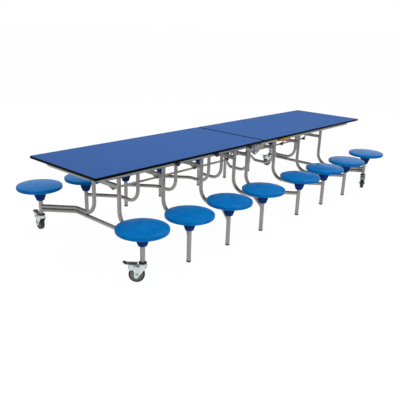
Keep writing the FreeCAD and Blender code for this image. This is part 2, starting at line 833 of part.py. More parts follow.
def make_tyre():
    """Solid tyre with rounded shoulders, bonded round the core."""
    body = new_body("tyre_body")
    profile = new_sketch(body, "tyre_profile", "XY_Plane")
    inner, outer = D.wheel_dia / 2 - D.tread_depth, D.wheel_dia / 2
    half, shoulder = D.wheel_width / 2, D.tread_depth / 3
    upper = [(inner, half - shoulder), (outer - shoulder * 2, half),
             (outer - shoulder * 0.7, half - shoulder * 0.4), (outer, half - shoulder * 1.5)]
    polygon(profile, upper + [(across, -up) for across, up in reversed(upper)])
    revolve(body, profile)
    return body


def pedal_pivot():
    """Place of the brake pedal's pin in the fork: across and up."""
    return D.castor_trail + D.pedal_pivot_lead, crown_height - D.pedal_pin_dia


def make_pedal():
    """Foot pedal of a castor brake: a tread bar over the fork, its tip turned up, on two arms."""
    body = new_body("pedal_master")
    pivot_x, pivot_z = pedal_pivot()
    inner = D.fork_gap + 2 * D.fork_plate + 2 * D.face_play
    top, under, pin = castor_top, castor_top - D.pedal_thick, D.pedal_pin_dia
    back = D.swivel_head_dia / 2 + D.pedal_thick / 2
    front = D.castor_trail + D.fork_front
    side = new_sketch(body, "pedal_side", "XZ_Plane")
    polygon(side, [
        (back, top), (back, under), (pivot_x - pin * 2, pivot_z + pin * 0.5),
        (pivot_x - pin * 0.8, pivot_z - pin), (pivot_x + pin * 0.8, pivot_z - pin),
        (front + pin, under - pin * 1.2), (D.pedal_tip - pin, under), (D.pedal_tip, under + pin),
        (D.pedal_tip, top + D.pedal_rise), (D.pedal_tip - pin, top + D.pedal_rise),
        (front + pin * 2.5, top)])
    pad(body, side, inner + 2 * D.pedal_arm, midplane=True)
    inside = new_sketch(body, "pedal_inside", "XZ_Plane")
    rectangle(inside, 0, front + pin * 1.5, axle_height, under)
    pocket(body, inside, inner, midplane=True)
    plan = new_sketch(body, "pedal_plan", "XY_Plane", top + D.pedal_rise)
    for side_sign in (1, -1):
        edge = D.pedal_width / 2 * side_sign
        beyond = inner * side_sign
        polygon(plan, [(front + pin * 2.5, edge), (D.pedal_tip + pin, edge * 0.8),
                       (D.pedal_tip + pin, beyond), (front + pin, beyond)])
    pocket(body, plan, D.wheel_dia)
    hole = new_sketch(body, "pedal_hole", "XZ_Plane")
    circle(hole, pivot_x, pivot_z, D.pedal_pin_dia + 2 * D.running_play)
    pocket(body, hole, 2 * inner, midplane=True)
    return body


def make_castor_bush():
    """Flanged bush in the foot of an end post that the castor's stem turns in."""
    body = new_body("castor_bush")
    profile = new_sketch(body, "bush_profile", "XZ_Plane")
    bore = D.stem_dia / 2 + D.running_play
    barrel = D.post_dia / 2 - D.tube_wall - D.press_play
    polygon(profile, [
        (bore, bush_bottom), (D.bush_flange_dia / 2, bush_bottom), (D.bush_flange_dia / 2, end_post_bottom),
        (barrel, end_post_bottom), (barrel, end_post_bottom + D.bush_length),
        (bore, end_post_bottom + D.bush_length)])
    revolve(body, profile)
    return body


# ---------------------------------------------------------------- link and lever


def link_faces():
    """Y of the link's inner and outer face, outside the brackets."""
    inner = D.link_row + D.bracket_thick / 2 + D.face_play
    return inner, inner + D.link_thick


def make_link():
    """Flat bar that joins the brackets of one half's four frames."""
    body = new_body("link_master")
    inner, outer = link_faces()
    first = frame_place(0) - D.link_offset
    last = frame_place(FRAMES_PER_HALF - 1) - D.link_offset
    half, end = D.link_depth / 2, D.link_depth * 0.75
    side = new_sketch(body, "link_side", "XZ_Plane", -outer)
    polygon(side, [
        (first - end, link_height - half / 2), (first - half, link_height - half),
        (last + half, link_height - half), (last + end, link_height - half / 2),
        (last + end, link_height + half / 2), (last + half, link_height + half),
        (first - half, link_height + half), (first - end, link_height + half / 2)])
    pad(body, side, D.link_thick)
    holes = new_sketch(body, "link_holes", "XZ_Plane")
    for index in range(FRAMES_PER_HALF):
        circle(holes, frame_place(index) - D.link_offset, link_height, D.link_bolt_dia + 2 * D.press_play)
    pocket(body, holes, half_width)
    return body


def make_link_bolts():
    """Bolts of the link: a head outside the bar and a black knob inside the bracket."""
    body = new_body("link_bolts_master")
    link_in, link_out = link_faces()
    bracket_in = D.link_row - D.bracket_thick / 2 - D.face_play
    for low, high, diameter in (
            (bracket_in - D.knob_thick, link_out + D.bolt_head_thick, D.link_bolt_dia),
            (link_out, link_out + D.bolt_head_thick, D.bolt_head_dia),
            (bracket_in - D.knob_thick, bracket_in, D.knob_dia)):
        rounds = new_sketch(body, "bolts", "XZ_Plane", -high)
        for index in range(FRAMES_PER_HALF):
            circle(rounds, frame_place(index) - D.link_offset, link_height, diameter)
        pad(body, rounds, high - low)
    return body


def make_lever():
    """Release lever on the near side rail, turning on a stud at its far end."""
    body = new_body("release_lever_master")
    face = rail_face + D.face_play
    half, nose = D.lever_depth / 2, D.lever_depth
    side = new_sketch(body, "lever_side", "XZ_Plane", face)
    polygon(side, [
        (D.lever_start, lever_height - half / 3), (D.lever_start + nose, lever_height - half),
        (lever_pivot + half / 2, lever_height - half), (lever_pivot + half, lever_height - half / 2),
        (lever_pivot + half, lever_height + half / 2), (lever_pivot + half / 2, lever_height + half),
        (D.lever_start + nose / 2, lever_height + half), (D.lever_start, lever_height + half / 2)])
    pad(body, side, D.lever_thick)
    hole = new_sketch(body, "lever_hole", "XZ_Plane")
    circle(hole, lever_pivot, lever_height, D.lever_pin_dia + 2 * D.running_play)
    pocket(body, hole, 2 * half_width, midplane=True)
    return body


def make_lever_stud():
    """Headed stud on the near side rail that the release lever turns on."""
    body = new_body("lever_stud")
    outside = rail_face + D.face_play * 2 + D.lever_thick
    shank = new_sketch(body, "stud_shank", "XZ_Plane", rail_face)
    circle(shank, lever_pivot, lever_height, D.lever_pin_dia)
    pad(body, shank, outside - rail_face)
    head = new_sketch(body, "stud_head", "XZ_Plane", outside)
    circle(head, lever_pivot, lever_height, D.lever_pin_dia * 2)
    pad(body, head, D.lever_pin_dia / 2)
    return body


# ---------------------------------------------------------------- assembly

nodes = []


def node(name, masters, x=0, y=0, z=0, turn=0):
    """A named sub-part: the given master solids, turned about Z and moved to their place."""
    item = doc.addObject("Part::Compound", name)
    item.Label = name
    item.Links = masters
    item.Placement = Placement(Vector(0, 0, 0), Rotation(Vector(0, 0, 1), turn))
    for axis, size in zip("xyz", (x, y, z)):
        bind(item, f"Placement.Base.{axis}", size)
    nodes.append(item)
    return item


def pair(name, master, x):
    """The same master twice, at the two posts of one frame."""
    parts = []
    for side in (-1, 1):
        copy = doc.addObject("Part::Compound", f"{name}_part")
        copy.Links = [master]
        bind(copy, "Placement.Base.x", x)
        bind(copy, "Placement.Base.y", post_row * side)
        parts.append(copy)
    return node(name, parts)


board = top_blank("board_master", D.edging_thick)
edging = make_edging(board)
underframe = make_underframe()
lever_stud = make_lever_stud()
pivot_pins = make_pivot_pins()
buffers = make_buffers()
link = make_link()
link_bolts = make_link_bolts()
middle_frame = make_frame("middle_frame_master", on_castors=False)
end_frame = make_frame("end_frame_master", on_castors=True)
foot = make_foot()
seat_pan, seat_hub = make_seat_pan(), make_seat_hub()
fork, axle, pedal = make_castor_fork(), make_axle(), make_pedal()
wheel_core, tyre = make_wheel_core(), make_tyre()
bush = make_castor_bush()

# Direction in which each castor trails at rest, in degrees about Z
CASTOR_TRAILS = {"left_near": 132, "left_far": 83, "right_near": 206, "right_far": 165}

for half, turn in (("left", 180), ("right", 0)):
    sign = -1 if turn else 1
    node(f"{half}_top_board", [board], turn=turn)
    node(f"{half}_top_edging", [edging], turn=turn)
    node(f"{half}_underframe", underframe if turn else [*underframe, lever_stud], turn=turn)
    node(f"{half}_pivot_pins", [pivot_pins], turn=turn)
    node(f"{half}_rail_buffers", [buffers], turn=turn)
    node(f"{half}_link_bar", [link], turn=turn)
    node(f"{half}_link_bolts", [link_bolts], turn=turn)
    for index in range(FRAMES_PER_HALF):
        number = FRAMES_PER_HALF - index if turn else FRAMES_PER_HALF + 1 + index
        at_end = index == FRAMES_PER_HALF - 1
        leg_x = frame_place(index) * sign
        post_x = (frame_place(index) + D.post_reach) * sign
        seat_rise = D.castor_seat_rise if at_end else 0
        node(f"leg_frame_{number}", [end_frame if at_end else middle_frame], leg_x, turn=turn)
        if at_end:
            pair(f"{half}_castor_bushes", bush, post_x)
        else:
            pair(f"feet_{number}", foot, post_x)
        for row, side in (("near", -1), ("far", 1)):
            node(f"seat_{row}_{number}", [seat_pan, seat_hub], post_x, post_row * side, seat_rise, turn)
            if at_end:
                corner = f"{half}_{row}"
                trail = CASTOR_TRAILS[corner]
                place = (post_x, post_row * side)
                node(f"castor_fork_{corner}", [fork, axle], *place, turn=trail)
                node(f"brake_pedal_{corner}", [pedal], *place, turn=trail)
                heading = math.radians(trail)
                node(f"castor_wheel_{corner}", [wheel_core, tyre],
                     place[0] + D.castor_trail * math.cos(heading),
                     place[1] + D.castor_trail * math.sin(heading), axle_height, turn=trail)

node("hinge_pins", [make_hinge_pins()])
node("release_lever", [make_lever()])

doc.recompute()

for item in doc.Objects:
    if "Invalid" in item.State or "Error" in item.State:
        raise RuntimeError(f"{item.Label}: {item.State}")
for item in nodes:
    if item.Shape.isNull() or not item.Shape.isValid():
        raise RuntimeError(f"{item.Label}: no valid shape")

os.makedirs("parts", exist_ok=True)
for item in nodes:
    item.Shape.exportStep(os.path.join("parts", f"{item.Label}.step"))
print(f"{len(nodes)} nodes, {sum(len(item.Shape.Solids) for item in nodes)} solids")
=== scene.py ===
"""Dresses a mobile folding table with sixteen swivel stools, and sets up its studio."""

import json
import logging
import math
from dataclasses import dataclass
from enum import Enum
from typing import Any, Callable, Iterable, Sequence

import bmesh
import bpy
from mathutils import Matrix, Vector

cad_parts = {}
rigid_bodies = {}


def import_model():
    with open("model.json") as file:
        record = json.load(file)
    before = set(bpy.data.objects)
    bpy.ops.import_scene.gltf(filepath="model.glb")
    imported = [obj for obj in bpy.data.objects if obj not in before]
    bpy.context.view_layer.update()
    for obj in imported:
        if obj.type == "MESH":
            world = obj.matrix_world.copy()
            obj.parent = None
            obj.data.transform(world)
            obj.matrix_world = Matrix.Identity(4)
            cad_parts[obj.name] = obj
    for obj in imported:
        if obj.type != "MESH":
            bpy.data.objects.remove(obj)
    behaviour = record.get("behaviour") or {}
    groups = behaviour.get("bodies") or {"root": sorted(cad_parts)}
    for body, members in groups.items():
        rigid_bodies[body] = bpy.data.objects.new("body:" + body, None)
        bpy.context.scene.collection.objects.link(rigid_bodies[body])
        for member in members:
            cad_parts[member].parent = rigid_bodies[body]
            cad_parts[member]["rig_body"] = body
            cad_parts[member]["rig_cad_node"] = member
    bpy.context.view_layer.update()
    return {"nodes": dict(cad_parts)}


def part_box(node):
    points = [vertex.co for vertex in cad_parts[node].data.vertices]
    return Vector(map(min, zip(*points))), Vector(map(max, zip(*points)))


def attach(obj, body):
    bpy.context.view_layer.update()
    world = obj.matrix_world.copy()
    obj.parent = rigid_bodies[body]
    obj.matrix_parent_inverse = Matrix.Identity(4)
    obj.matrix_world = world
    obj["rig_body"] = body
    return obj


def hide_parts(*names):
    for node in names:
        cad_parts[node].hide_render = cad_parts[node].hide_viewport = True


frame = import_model()

MM = 0.001
WELD_GAP = 0.00002
FULL_TURN = math.tau
QUARTER_TURN = math.tau / 4

log = logging.getLogger("folding_table")

Socket = bpy.types.NodeSocket
Piece = bpy.types.Object
Colour = tuple[int, int, int]
LinearColour = tuple[float, float, float, float]
Point = tuple[float, float]
Point3 = tuple[float, float, float]

WHITE: LinearColour = (1.0, 1.0, 1.0, 1.0)


class Slot(Enum):
    """Material slots of the record that a piece takes its finish from."""

    EDGING = "edging"
    TUBE = "tube_grey"
    SEAT = "seat_blue"
    RUBBER = "rubber_black"
    ZINC = "zinc"
    TYRE = "tyre_grey"
    PEDAL = "pedal_steel"
    NYLON = "black_plastic"
    LEVER = "lever_yellow"


class Row(Enum):
    """The two rows of stools, with the sign of their Y."""

    NEAR = ("near", -1)
    FAR = ("far", 1)

    @property
    def word(self) -> str:
        """The row's word in node names."""
        return self.value[0]

    @property
    def side(self) -> int:
        """The sign of the row's Y."""
        return self.value[1]


class Half(Enum):
    """The two halves of the table, with the sign of their X."""

    LEFT = ("left", -1)
    RIGHT = ("right", 1)

    @property
    def word(self) -> str:
        """The half's word in node names."""
        return self.value[0]

    @property
    def side(self) -> int:
        """The sign of the half's X."""
        return self.value[1]


# ---------------------------------------------------------------- finishes


def shade(colour: Colour, shift: int = 0, factor: float = 1.0) -> LinearColour:
    """Turn a colour as a screen shows it, made darker or paler, into the linear one of a shader.

    Args:
        colour: Red, green and blue from 0 to 255.
        shift: What is added to each channel.
        factor: What each channel is multiplied by first.

    Returns:
        Linear red, green, blue and an alpha of 1.
    """
    shares = [min(255, round(channel * factor) + shift) / 255 for channel in colour]
    linear = [s / 12.92 if s <= 0.04045 else ((s + 0.055) / 1.055) ** 2.4 for s in shares]
    return (*linear, 1.0)


class Term:
    """A value in a shader's sums: its operators add Math nodes to its tree."""

    def __init__(self, nodes: "Nodes", socket: Socket) -> None:
        """Wrap an output socket of a node tree."""
        self.nodes = nodes
        self.socket = socket

    def __add__(self, other: Any) -> "Term":
        """Add a number or another term."""
        return self.nodes.math("ADD", self, other)

    __radd__ = __add__

    def __mul__(self, other: Any) -> "Term":
        """Multiply by a number or another term."""
        return self.nodes.math("MULTIPLY", self, other)

    __rmul__ = __mul__

    def __sub__(self, other: Any) -> "Term":
        """Take a number or another term away."""
        return self.nodes.math("SUBTRACT", self, other)

    def __rsub__(self, other: Any) -> "Term":
        """Take this term away from a number."""
        return self.nodes.math("SUBTRACT", other, self)


class Nodes:
    """A tree of shader nodes, of a material or the world."""

    def __init__(self, tree: bpy.types.NodeTree) -> None:
        """Start with an empty tree."""
        self.tree = tree
        self.tree.nodes.clear()

    def add(self, kind: str, settings: dict[str, Any], inputs: dict[Any, Any]) -> bpy.types.Node:
        """Add any node.

        Args:
            kind: The node's type.
            settings: Its settings.
            inputs: What goes to its sockets, by name or number: values, terms or sockets.

        Returns:
            The new node.
        """
        node = self.tree.nodes.new(kind)
        for name, value in settings.items():
            setattr(node, name, value)
        for key, value in inputs.items():
            self.feed(node.inputs[key], value)
        return node

    def take(self, kind: str, settings: dict[str, Any], inputs: dict[Any, Any],
             output: Any = 0) -> Term:
        """Add any node and wrap one of its outputs.

        Args:
            kind: The node's type.
            settings: Its settings, as for add.
            inputs: What goes to its sockets, as for add.
            output: Name or number of the output that is wrapped.

        Returns:
            The output as a term.
        """
        return Term(self, self.add(kind, settings, inputs).outputs[output])

    def math(self, operation: str, *values: Any) -> Term:
        """Add one Math node on numbers or terms."""
        return self.take("ShaderNodeMath", {"operation": operation}, dict(enumerate(values)))

    def feed(self, socket: Socket, value: Any) -> None:
        """Set a socket to a value, or link it to a term or another socket.

        Args:
            socket: The input.
            value: A value, a term or another socket.
        """
        if isinstance(value, Term):
            self.tree.links.new(value.socket, socket)
        elif isinstance(value, Socket):
            self.tree.links.new(value, socket)
        else:
            socket.default_value = value

    def rays(self) -> tuple[Term, Term]:
        """Tell rays apart.

        Returns:
            A term that is 1 for the camera's rays, and one that is 1 for reflected and
            transmitted rays as well.
        """
        path = self.add("ShaderNodeLightPath", {}, {})
        camera, glossy, transmitted = (Term(self, path.outputs[f"Is {kind} Ray"])
                                       for kind in ("Camera", "Glossy", "Transmission"))
        return camera, camera + glossy + transmitted


class Recipe(Nodes):
    """The node tree of one material, with a Principled BSDF at its end."""

    def __init__(self, name: str) -> None:
        """Start an empty material of that name.

        Args:
            name: The material's name.
        """
        self.material = bpy.data.materials.new(name)
        self.material.use_nodes = True
        super().__init__(self.material.node_tree)
        self.shader = self.add("ShaderNodeBsdfPrincipled", {}, {})
        self.output = self.add("ShaderNodeOutputMaterial", {}, {"Surface": self.shader.outputs[0]})
        self.place = self.take("ShaderNodeTexCoord", {}, {}, "Object")

    def noise(self, per_metre: float, detail: float = 3.0, stretch: Vector | None = None) -> Term:
        """A noise over the piece.

        Args:
            per_metre: How many of its features lie in a metre.
            detail: How many finer layers it has.
            stretch: Scale of the place along X, Y and Z, for brushed grain.

        Returns:
            The noise from 0 to 1.
        """
        place = self.place
        if stretch is not None:
            place = self.take("ShaderNodeMapping", {}, {"Vector": place, "Scale": stretch})
        return self.take("ShaderNodeTexNoise", {}, {
            "Vector": place, "Scale": per_metre, "Detail": detail, "Roughness": 0.55})

    def along(self, axis: str) -> Term:
        """Place on the piece along X, Y or Z, in metres."""
        return self.take("ShaderNodeSeparateXYZ", {}, {0: self.place}, axis)

    def blend(self, share: Any, first: Any, second: Any) -> Term:
        """Mix two colours by a share from 0 to 1."""
        return self.take("ShaderNodeMix", {"data_type": "RGBA"},
                         {"Factor": share, "A": first, "B": second}, "Result")

    def spread(self, term: Term, low: float, high: float) -> Term:
        """Stretch the part of a term between low and high over 0 to 1, and clamp the rest."""
        return self.take("ShaderNodeMapRange", {}, {
            "Value": term, "From Min": low, "From Max": high})

    def bump(self, height: Term, strength: float, depth: float) -> None:
        """Raise the surface by a height term.

        Args:
            height: The height from 0 to 1.
            strength: Share of the bump that shows.
            depth: Height in metres that 1 stands for.
        """
        normal = self.take("ShaderNodeBump", {}, {
            "Strength": strength, "Distance": depth, "Height": height})
        self.feed(self.shader.inputs["Normal"], normal)

    def set(self, **sockets: Any) -> bpy.types.Material:
        """Feed sockets of the Principled BSDF, with _ for a space in their names.

        Args:
            sockets: What goes to each socket.

        Returns:
            The material.
        """
        for name, value in sockets.items():
            self.feed(self.shader.inputs[name.replace("_", " ")], value)
        return self.material


@dataclass(frozen=True)
class Laminate:
    """Matt high-pressure laminate with a fine pearl texture, over a dark brown backer sheet whose
    darkness is partly the sheet's own colour and partly painted shade of the underside.

    The edging's lip laps over it for a few millimetres beside the joint of the two halves.
    """

    name: str
    colour: Colour
    # The underside's dark brown is partly painted shade, so that what reflects the underside shows
    # it dark.
    backing: Colour
    backing_height: float
    lip: Colour
    lip_reach: float
    grain_per_metre: float = 900.0
    shine: float = 0.02

    def build(self) -> bpy.types.Material:
        """Make the material.

        Returns:
            The material.
        """
        recipe = Recipe(self.name)
        grain = recipe.noise(self.grain_per_metre, detail=4.0)
        clouds = recipe.noise(2.5, detail=2.0)
        wiped = recipe.noise(9.0, detail=5.0, stretch=Vector((1.0, 6.0, 1.0)))
        share = recipe.spread(grain, 0.3, 0.7) * 0.7 + clouds * 0.3
        face = recipe.blend(share, shade(self.colour, -5), shade(self.colour, 4))
        # Painted shade in part: the underside's dark brown stands in for the shade under the top.
        back = recipe.blend(share, shade(self.backing), shade(self.backing, 12))
        above = recipe.spread(recipe.along("Z"), self.backing_height,
                              self.backing_height + 0.1 * MM)
        from_joint = recipe.math("ABSOLUTE", recipe.along("X"))
        clear = recipe.spread(from_joint, self.lip_reach, self.lip_reach + 0.3 * MM)
        recipe.bump(grain, strength=0.18, depth=0.12 * MM)
        sheets_and_shade = recipe.blend(above, back, face)
        return recipe.set(Base_Color=recipe.blend(clear, shade(self.lip), sheets_and_shade),
                          Roughness=0.5 + 0.1 * wiped, Specular_IOR_Level=self.shine)


@dataclass(frozen=True)
class MouldedPlastic:
    """Moulded plastic with a fine spark-eroded grain, faint flow marks and scuffs."""

    name: str
    colour: Colour
    roughness: float
    grain_per_metre: float = 1500.0
    grain_depth: float = 0.08 * MM
    scuff: float = 0.12
    shine: float = 0.25

    def build(self) -> bpy.types.Material:
        """Make the material.

        Returns:
            The material.
        """
        recipe = Recipe(self.name)
        grain = recipe.noise(self.grain_per_metre, detail=2.0)
        flow = recipe.spread(recipe.noise(14.0, detail=4.0), 0.3, 0.7)
        scuffs = recipe.spread(recipe.noise(60.0, detail=8.0), 0.52, 0.75)
        recipe.bump(grain, strength=0.3, depth=self.grain_depth)
        deep, pale = shade(self.colour, factor=0.94), shade(self.colour, 7)
        return recipe.set(Base_Color=recipe.blend(flow, deep, pale),
                          Roughness=self.roughness + self.scuff * scuffs,
                          Specular_IOR_Level=self.shine)


@dataclass(frozen=True)
class CoatedSteel:
    """Steel under a silver-grey metallic coat with a slight orange peel."""

    name: str
    colour: Colour
    metallic: float
    roughness: float

    def build(self) -> bpy.types.Material:
        """Make the material.

        Returns:
            The material.
        """
        recipe = Recipe(self.name)
        flake = recipe.noise(1100.0, detail=2.0)
        handled = recipe.spread(recipe.noise(12.0, detail=6.0), 0.35, 0.7)
        recipe.bump(recipe.noise(260.0, detail=2.0), strength=0.15, depth=0.15 * MM)
        share = flake * 0.6 + handled * 0.4
        return recipe.set(
            Base_Color=recipe.blend(share, shade(self.colour, -8), shade(self.colour, 8)),
            Metallic=self.metallic, Roughness=self.roughness + 0.1 * handled)


@dataclass(frozen=True)
class ZincPlate:
    """Bright zinc plate on pressed steel, with a blue cast and soft blotches."""

    name: str
    colour: Colour
    tint: Colour
    roughness: float = 0.3

    def build(self) -> bpy.types.Material:
        """Make the material.

        Returns:
            The material.
        """
        recipe = Recipe(self.name)
        blotches = recipe.spread(recipe.noise(55.0, detail=5.0), 0.35, 0.68)
        drawn = recipe.noise(420.0, stretch=Vector((1.0, 1.0, 0.15)))
        recipe.bump(drawn, strength=0.2, depth=0.05 * MM)
        return recipe.set(
            Base_Color=recipe.blend(blotches, shade(self.colour), shade(self.tint)),
            Metallic=0.85, Roughness=self.roughness + 0.15 * drawn)


@dataclass(frozen=True)
class Rubber:
    """Rubber with a dusty bloom and a fine moulded grain."""

    name: str
    colour: Colour
    dust: Colour
    dust_share: float = 0.35

    def build(self) -> bpy.types.Material:
        """Make the material.

        Returns:
            The material.
        """
        recipe = Recipe(self.name)
        bloom = recipe.spread(recipe.noise(70.0, detail=7.0), 0.4, 0.8) * self.dust_share
        recipe.bump(recipe.noise(1300.0), strength=0.35, depth=0.1 * MM)
        return recipe.set(Base_Color=recipe.blend(bloom, shade(self.colour), shade(self.dust)),
                          Roughness=0.62 + 0.25 * bloom)


@dataclass(frozen=True)
class TwoToneCoat:
    """Gloss yellow coat that deepens to amber towards one end: the amber is painted shade."""

    name: str
    worn: Colour
    fresh: Colour
    worn_end: float
    fresh_end: float

    def build(self) -> bpy.types.Material:
        """Make the material.

        Returns:
            The material.
        """
        recipe = Recipe(self.name)
        ragged = recipe.along("X") + 0.02 * recipe.noise(60.0, detail=4.0)
        # Painted shade: the share runs from the amber of the shaded end to the lever's own yellow.
        share = recipe.spread(ragged, self.worn_end, self.fresh_end)
        recipe.bump(recipe.noise(300.0, detail=2.0), strength=0.15, depth=0.1 * MM)
        return recipe.set(Base_Color=recipe.blend(share, shade(self.worn), shade(self.fresh)),
                          Roughness=0.45 - 0.12 * share, Specular_IOR_Level=0.15)


class Finishes:
    """Every finish of the table, built once and handed to the pieces by slot."""

    def __init__(self) -> None:
        """Build the materials."""
        low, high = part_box("left_top_board")
        # The dark brown of the board's underside is partly painted shade.
        self.laminate = Laminate(
            "blue_laminate", (58, 99, 163), backing=(92, 77, 56),
            backing_height=(low.z + high.z) / 2, lip=(8, 8, 9),
            lip_reach=4.5 * MM - high.x).build()
        self.edging = MouldedPlastic("black_edging", (8, 8, 9), roughness=0.45, shine=0.03).build()
        self.tube = CoatedSteel("silver_grey_coat", (154, 152, 147), metallic=0.6,
                                roughness=0.2).build()
        self.seat = MouldedPlastic("seat_blue_plastic", (0, 114, 192), roughness=0.2,
                                   scuff=0.08, shine=0.035).build()
        self.hub = MouldedPlastic("hub_navy_plastic", (16, 60, 132), roughness=0.42,
                                  shine=0.05).build()
        self.rubber = Rubber("dark_rubber", (26, 26, 27), dust=(52, 52, 50)).build()
        self.zinc = ZincPlate("zinc_plate", (222, 230, 229), tint=(200, 210, 209)).build()
        self.tyre = Rubber("dark_tyre_rubber", (44, 43, 42), dust=(78, 76, 72)).build()
        self.core = MouldedPlastic("grey_wheel_core", (126, 124, 121), roughness=0.45).build()
        self.pedal = ZincPlate("pedal_steel", (172, 184, 178), tint=(112, 124, 119),
                               roughness=0.35).build()
        self.nylon = MouldedPlastic("black_nylon", (48, 50, 50), roughness=0.36).build()
        low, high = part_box("release_lever")
        # The lever's amber low end is painted shade.
        self.lever = TwoToneCoat("yellow_lever", worn=(176, 104, 22), fresh=(252, 196, 62),
                                 worn_end=low.x, fresh_end=high.x).build()


# ---------------------------------------------------------------- bench


def deselect_all() -> None:
    """Leave edit mode and let nothing be selected."""
    if bpy.context.object is not None and bpy.context.object.mode != "OBJECT":
        bpy.ops.object.mode_set(mode="OBJECT")
    bpy.ops.object.select_all(action="DESELECT")


def make_active(piece: Piece) -> None:
    """Select one piece alone and make it the active one.

    Args:
        piece: The piece.
    """
    deselect_all()
    piece.select_set(True)
    bpy.context.view_layer.objects.active = piece


class Editing:
    """Edit mode on one piece for the length of a with block."""

    def __init__(self, piece: Piece, elements: str = "VERT") -> None:
        """Keep the piece and the kind of element that is picked: VERT, EDGE or FACE."""
        self.piece = piece
        self.elements = elements

    def __enter__(self) -> "Editing":
        """Enter edit mode with everything selected.

        Returns:
            The block itself, for its picks.
        """
        make_active(self.piece)
        bpy.ops.object.mode_set(mode="EDIT")
        bpy.ops.mesh.select_mode(type=self.elements)
        bpy.ops.mesh.select_all(action="SELECT")
        return self

    def __exit__(self, *_: object) -> None:
        """Go back to object mode."""
        bpy.ops.object.mode_set(mode="OBJECT")

    def pick(self, wanted: Callable[[Any], bool]) -> None:
        """Select the elements of the current kind that a test accepts, and no others.

        Args:
            wanted: Tells whether an element is wanted.
        """
        bpy.ops.mesh.select_all(action="DESELECT")
        mesh = bmesh.from_edit_mesh(self.piece.data)
        group = {"VERT": mesh.verts, "EDGE": mesh.edges, "FACE": mesh.faces}[self.elements]
        for element in group:
            if wanted(element):
                element.select_set(True)
        mesh.select_flush_mode()
        bmesh.update_edit_mesh(self.piece.data)


def name_piece(name: str, material: bpy.types.Material) -> Piece:
    """Name the active object and its mesh, and give it one material.

    Args:
        name: Its name.
        material: Its material.

    Returns:
        The object.
    """
    piece = bpy.context.object
    piece.name = name
    piece.data.name = name
    piece.data.materials.clear()
    piece.data.materials.append(material)
    return piece


def apply_modifier(piece: Piece, kind: str, **settings: Any) -> None:
    """Add a modifier with the given settings and apply it.

    Args:
        piece: The piece.
        kind: The modifier's type.
        settings: Its settings.
    """
    make_active(piece)
    modifier = piece.modifiers.new(kind.title(), kind)
    for name, value in settings.items():
        setattr(modifier, name, value)
    bpy.ops.object.modifier_apply(modifier=modifier.name)


def round_edges(piece: Piece, width: float, segments: int = 2, angle: float = 32.0) -> None:
    """Bevel every edge sharper than an angle in degrees."""
    apply_modifier(piece, "BEVEL", width=width, segments=segments, limit_method="ANGLE",
                   angle_limit=math.radians(angle))


def smooth(piece: Piece, angle: float = 32.0) -> None:
    """Shade smooth across every edge flatter than an angle in degrees."""
    make_active(piece)
    bpy.ops.object.shade_smooth_by_angle(angle=math.radians(angle))


def tidy_mesh(piece: Piece) -> None:
    """Merge doubled points and turn all faces outwards.

    Args:
        piece: The piece.
    """
    with Editing(piece):
        bpy.ops.mesh.remove_doubles(threshold=WELD_GAP)
        bpy.ops.mesh.normals_make_consistent(inside=False)


def settle(piece: Piece) -> Piece:
    """Apply a piece's place, so that its object sits at the origin.

    Args:
        piece: The piece.

    Returns:
        The same piece.
    """
    make_active(piece)
    bpy.ops.object.transform_apply(location=True, rotation=True, scale=True)
    return piece


def near(corner: Point, *offsets: Point) -> list[Point]:
    """Points of a profile or an outline, by their offsets in millimetres from a corner."""
    return [(corner[0] + across * MM, corner[1] + up * MM) for across, up in offsets]


def quarter(centre: Point, radius: float, start: float) -> list[Point]:
    """Points of a quarter circle in a profile, turning clockwise.

    Args:
        centre: Radius and height of its centre.
        radius: Its own radius.
        start: Degrees from the outward direction where it begins.

    Returns:
        Radius and height of each point.
    """
    steps = 6
    angles = [math.radians(start - 90 * step / steps) for step in range(steps + 1)]
    return [(centre[0] + radius * math.cos(a), centre[1] + radius * math.sin(a)) for a in angles]


def wire(name: str, points: Sequence[Vector], material: bpy.types.Material) -> Piece:
    """Draw a chain of edges from point to point.

    Args:
        name: The piece's name.
        points: Its points in order.
        material: Its material.

    Returns:
        The chain, as a piece of edges alone.
    """
    deselect_all()
    bpy.ops.mesh.primitive_plane_add(size=MM, location=(0, 0, 0))
    piece = name_piece(name, material)
    with Editing(piece):
        bpy.ops.mesh.merge(type="CENTER")
        bpy.ops.transform.translate(value=points[0])
        for before, point in zip(points, points[1:]):
            bpy.ops.mesh.extrude_vertices_move(TRANSFORM_OT_translate={"value": point - before})
    return piece


def turned(name: str, profile: Sequence[Point], material: bpy.types.Material,
           steps: int, level: bool = False) -> Piece:
    """Spin a profile into a turned piece about the Z axis, or about Y when level.

    Args:
        name: The piece's name.
        profile: Radius and height of each point, in metres, from one end to the other.
        material: Its material.
        steps: Steps of the spin.
        level: Whether the axis is Y instead of Z.

    Returns:
        The piece, about the origin.
    """
    piece = wire(name, [Vector((radius, height, 0) if level else (radius, 0, height))
                        for radius, height in profile], material)
    with Editing(piece):
        bpy.ops.mesh.spin(steps=steps, angle=FULL_TURN, center=(0, 0, 0),
                          axis=(0, 1, 0) if level else (0, 0, 1))
    tidy_mesh(piece)
    return piece


def plate(name: str, outline: Sequence[Point], thick: float, material: bpy.types.Material,
          y: float = 0.0) -> Piece:
    """Cut a plate that stands in the XZ plane.

    Args:
        name: The piece's name.
        outline: X and Z of its corners in order.
        thick: Its thickness along Y.
        material: Its material.
        y: Y of its middle.

    Returns:
        The plate.
    """
    piece = wire(name, [Vector((across, y - thick / 2, up)) for across, up in outline], material)
    with Editing(piece):
        bpy.ops.mesh.edge_face_add()
        bpy.ops.mesh.extrude_region_move(TRANSFORM_OT_translate={"value": (0, thick, 0)})
        bpy.ops.mesh.select_all(action="SELECT")
        bpy.ops.mesh.normals_make_consistent(inside=False)
    return piece


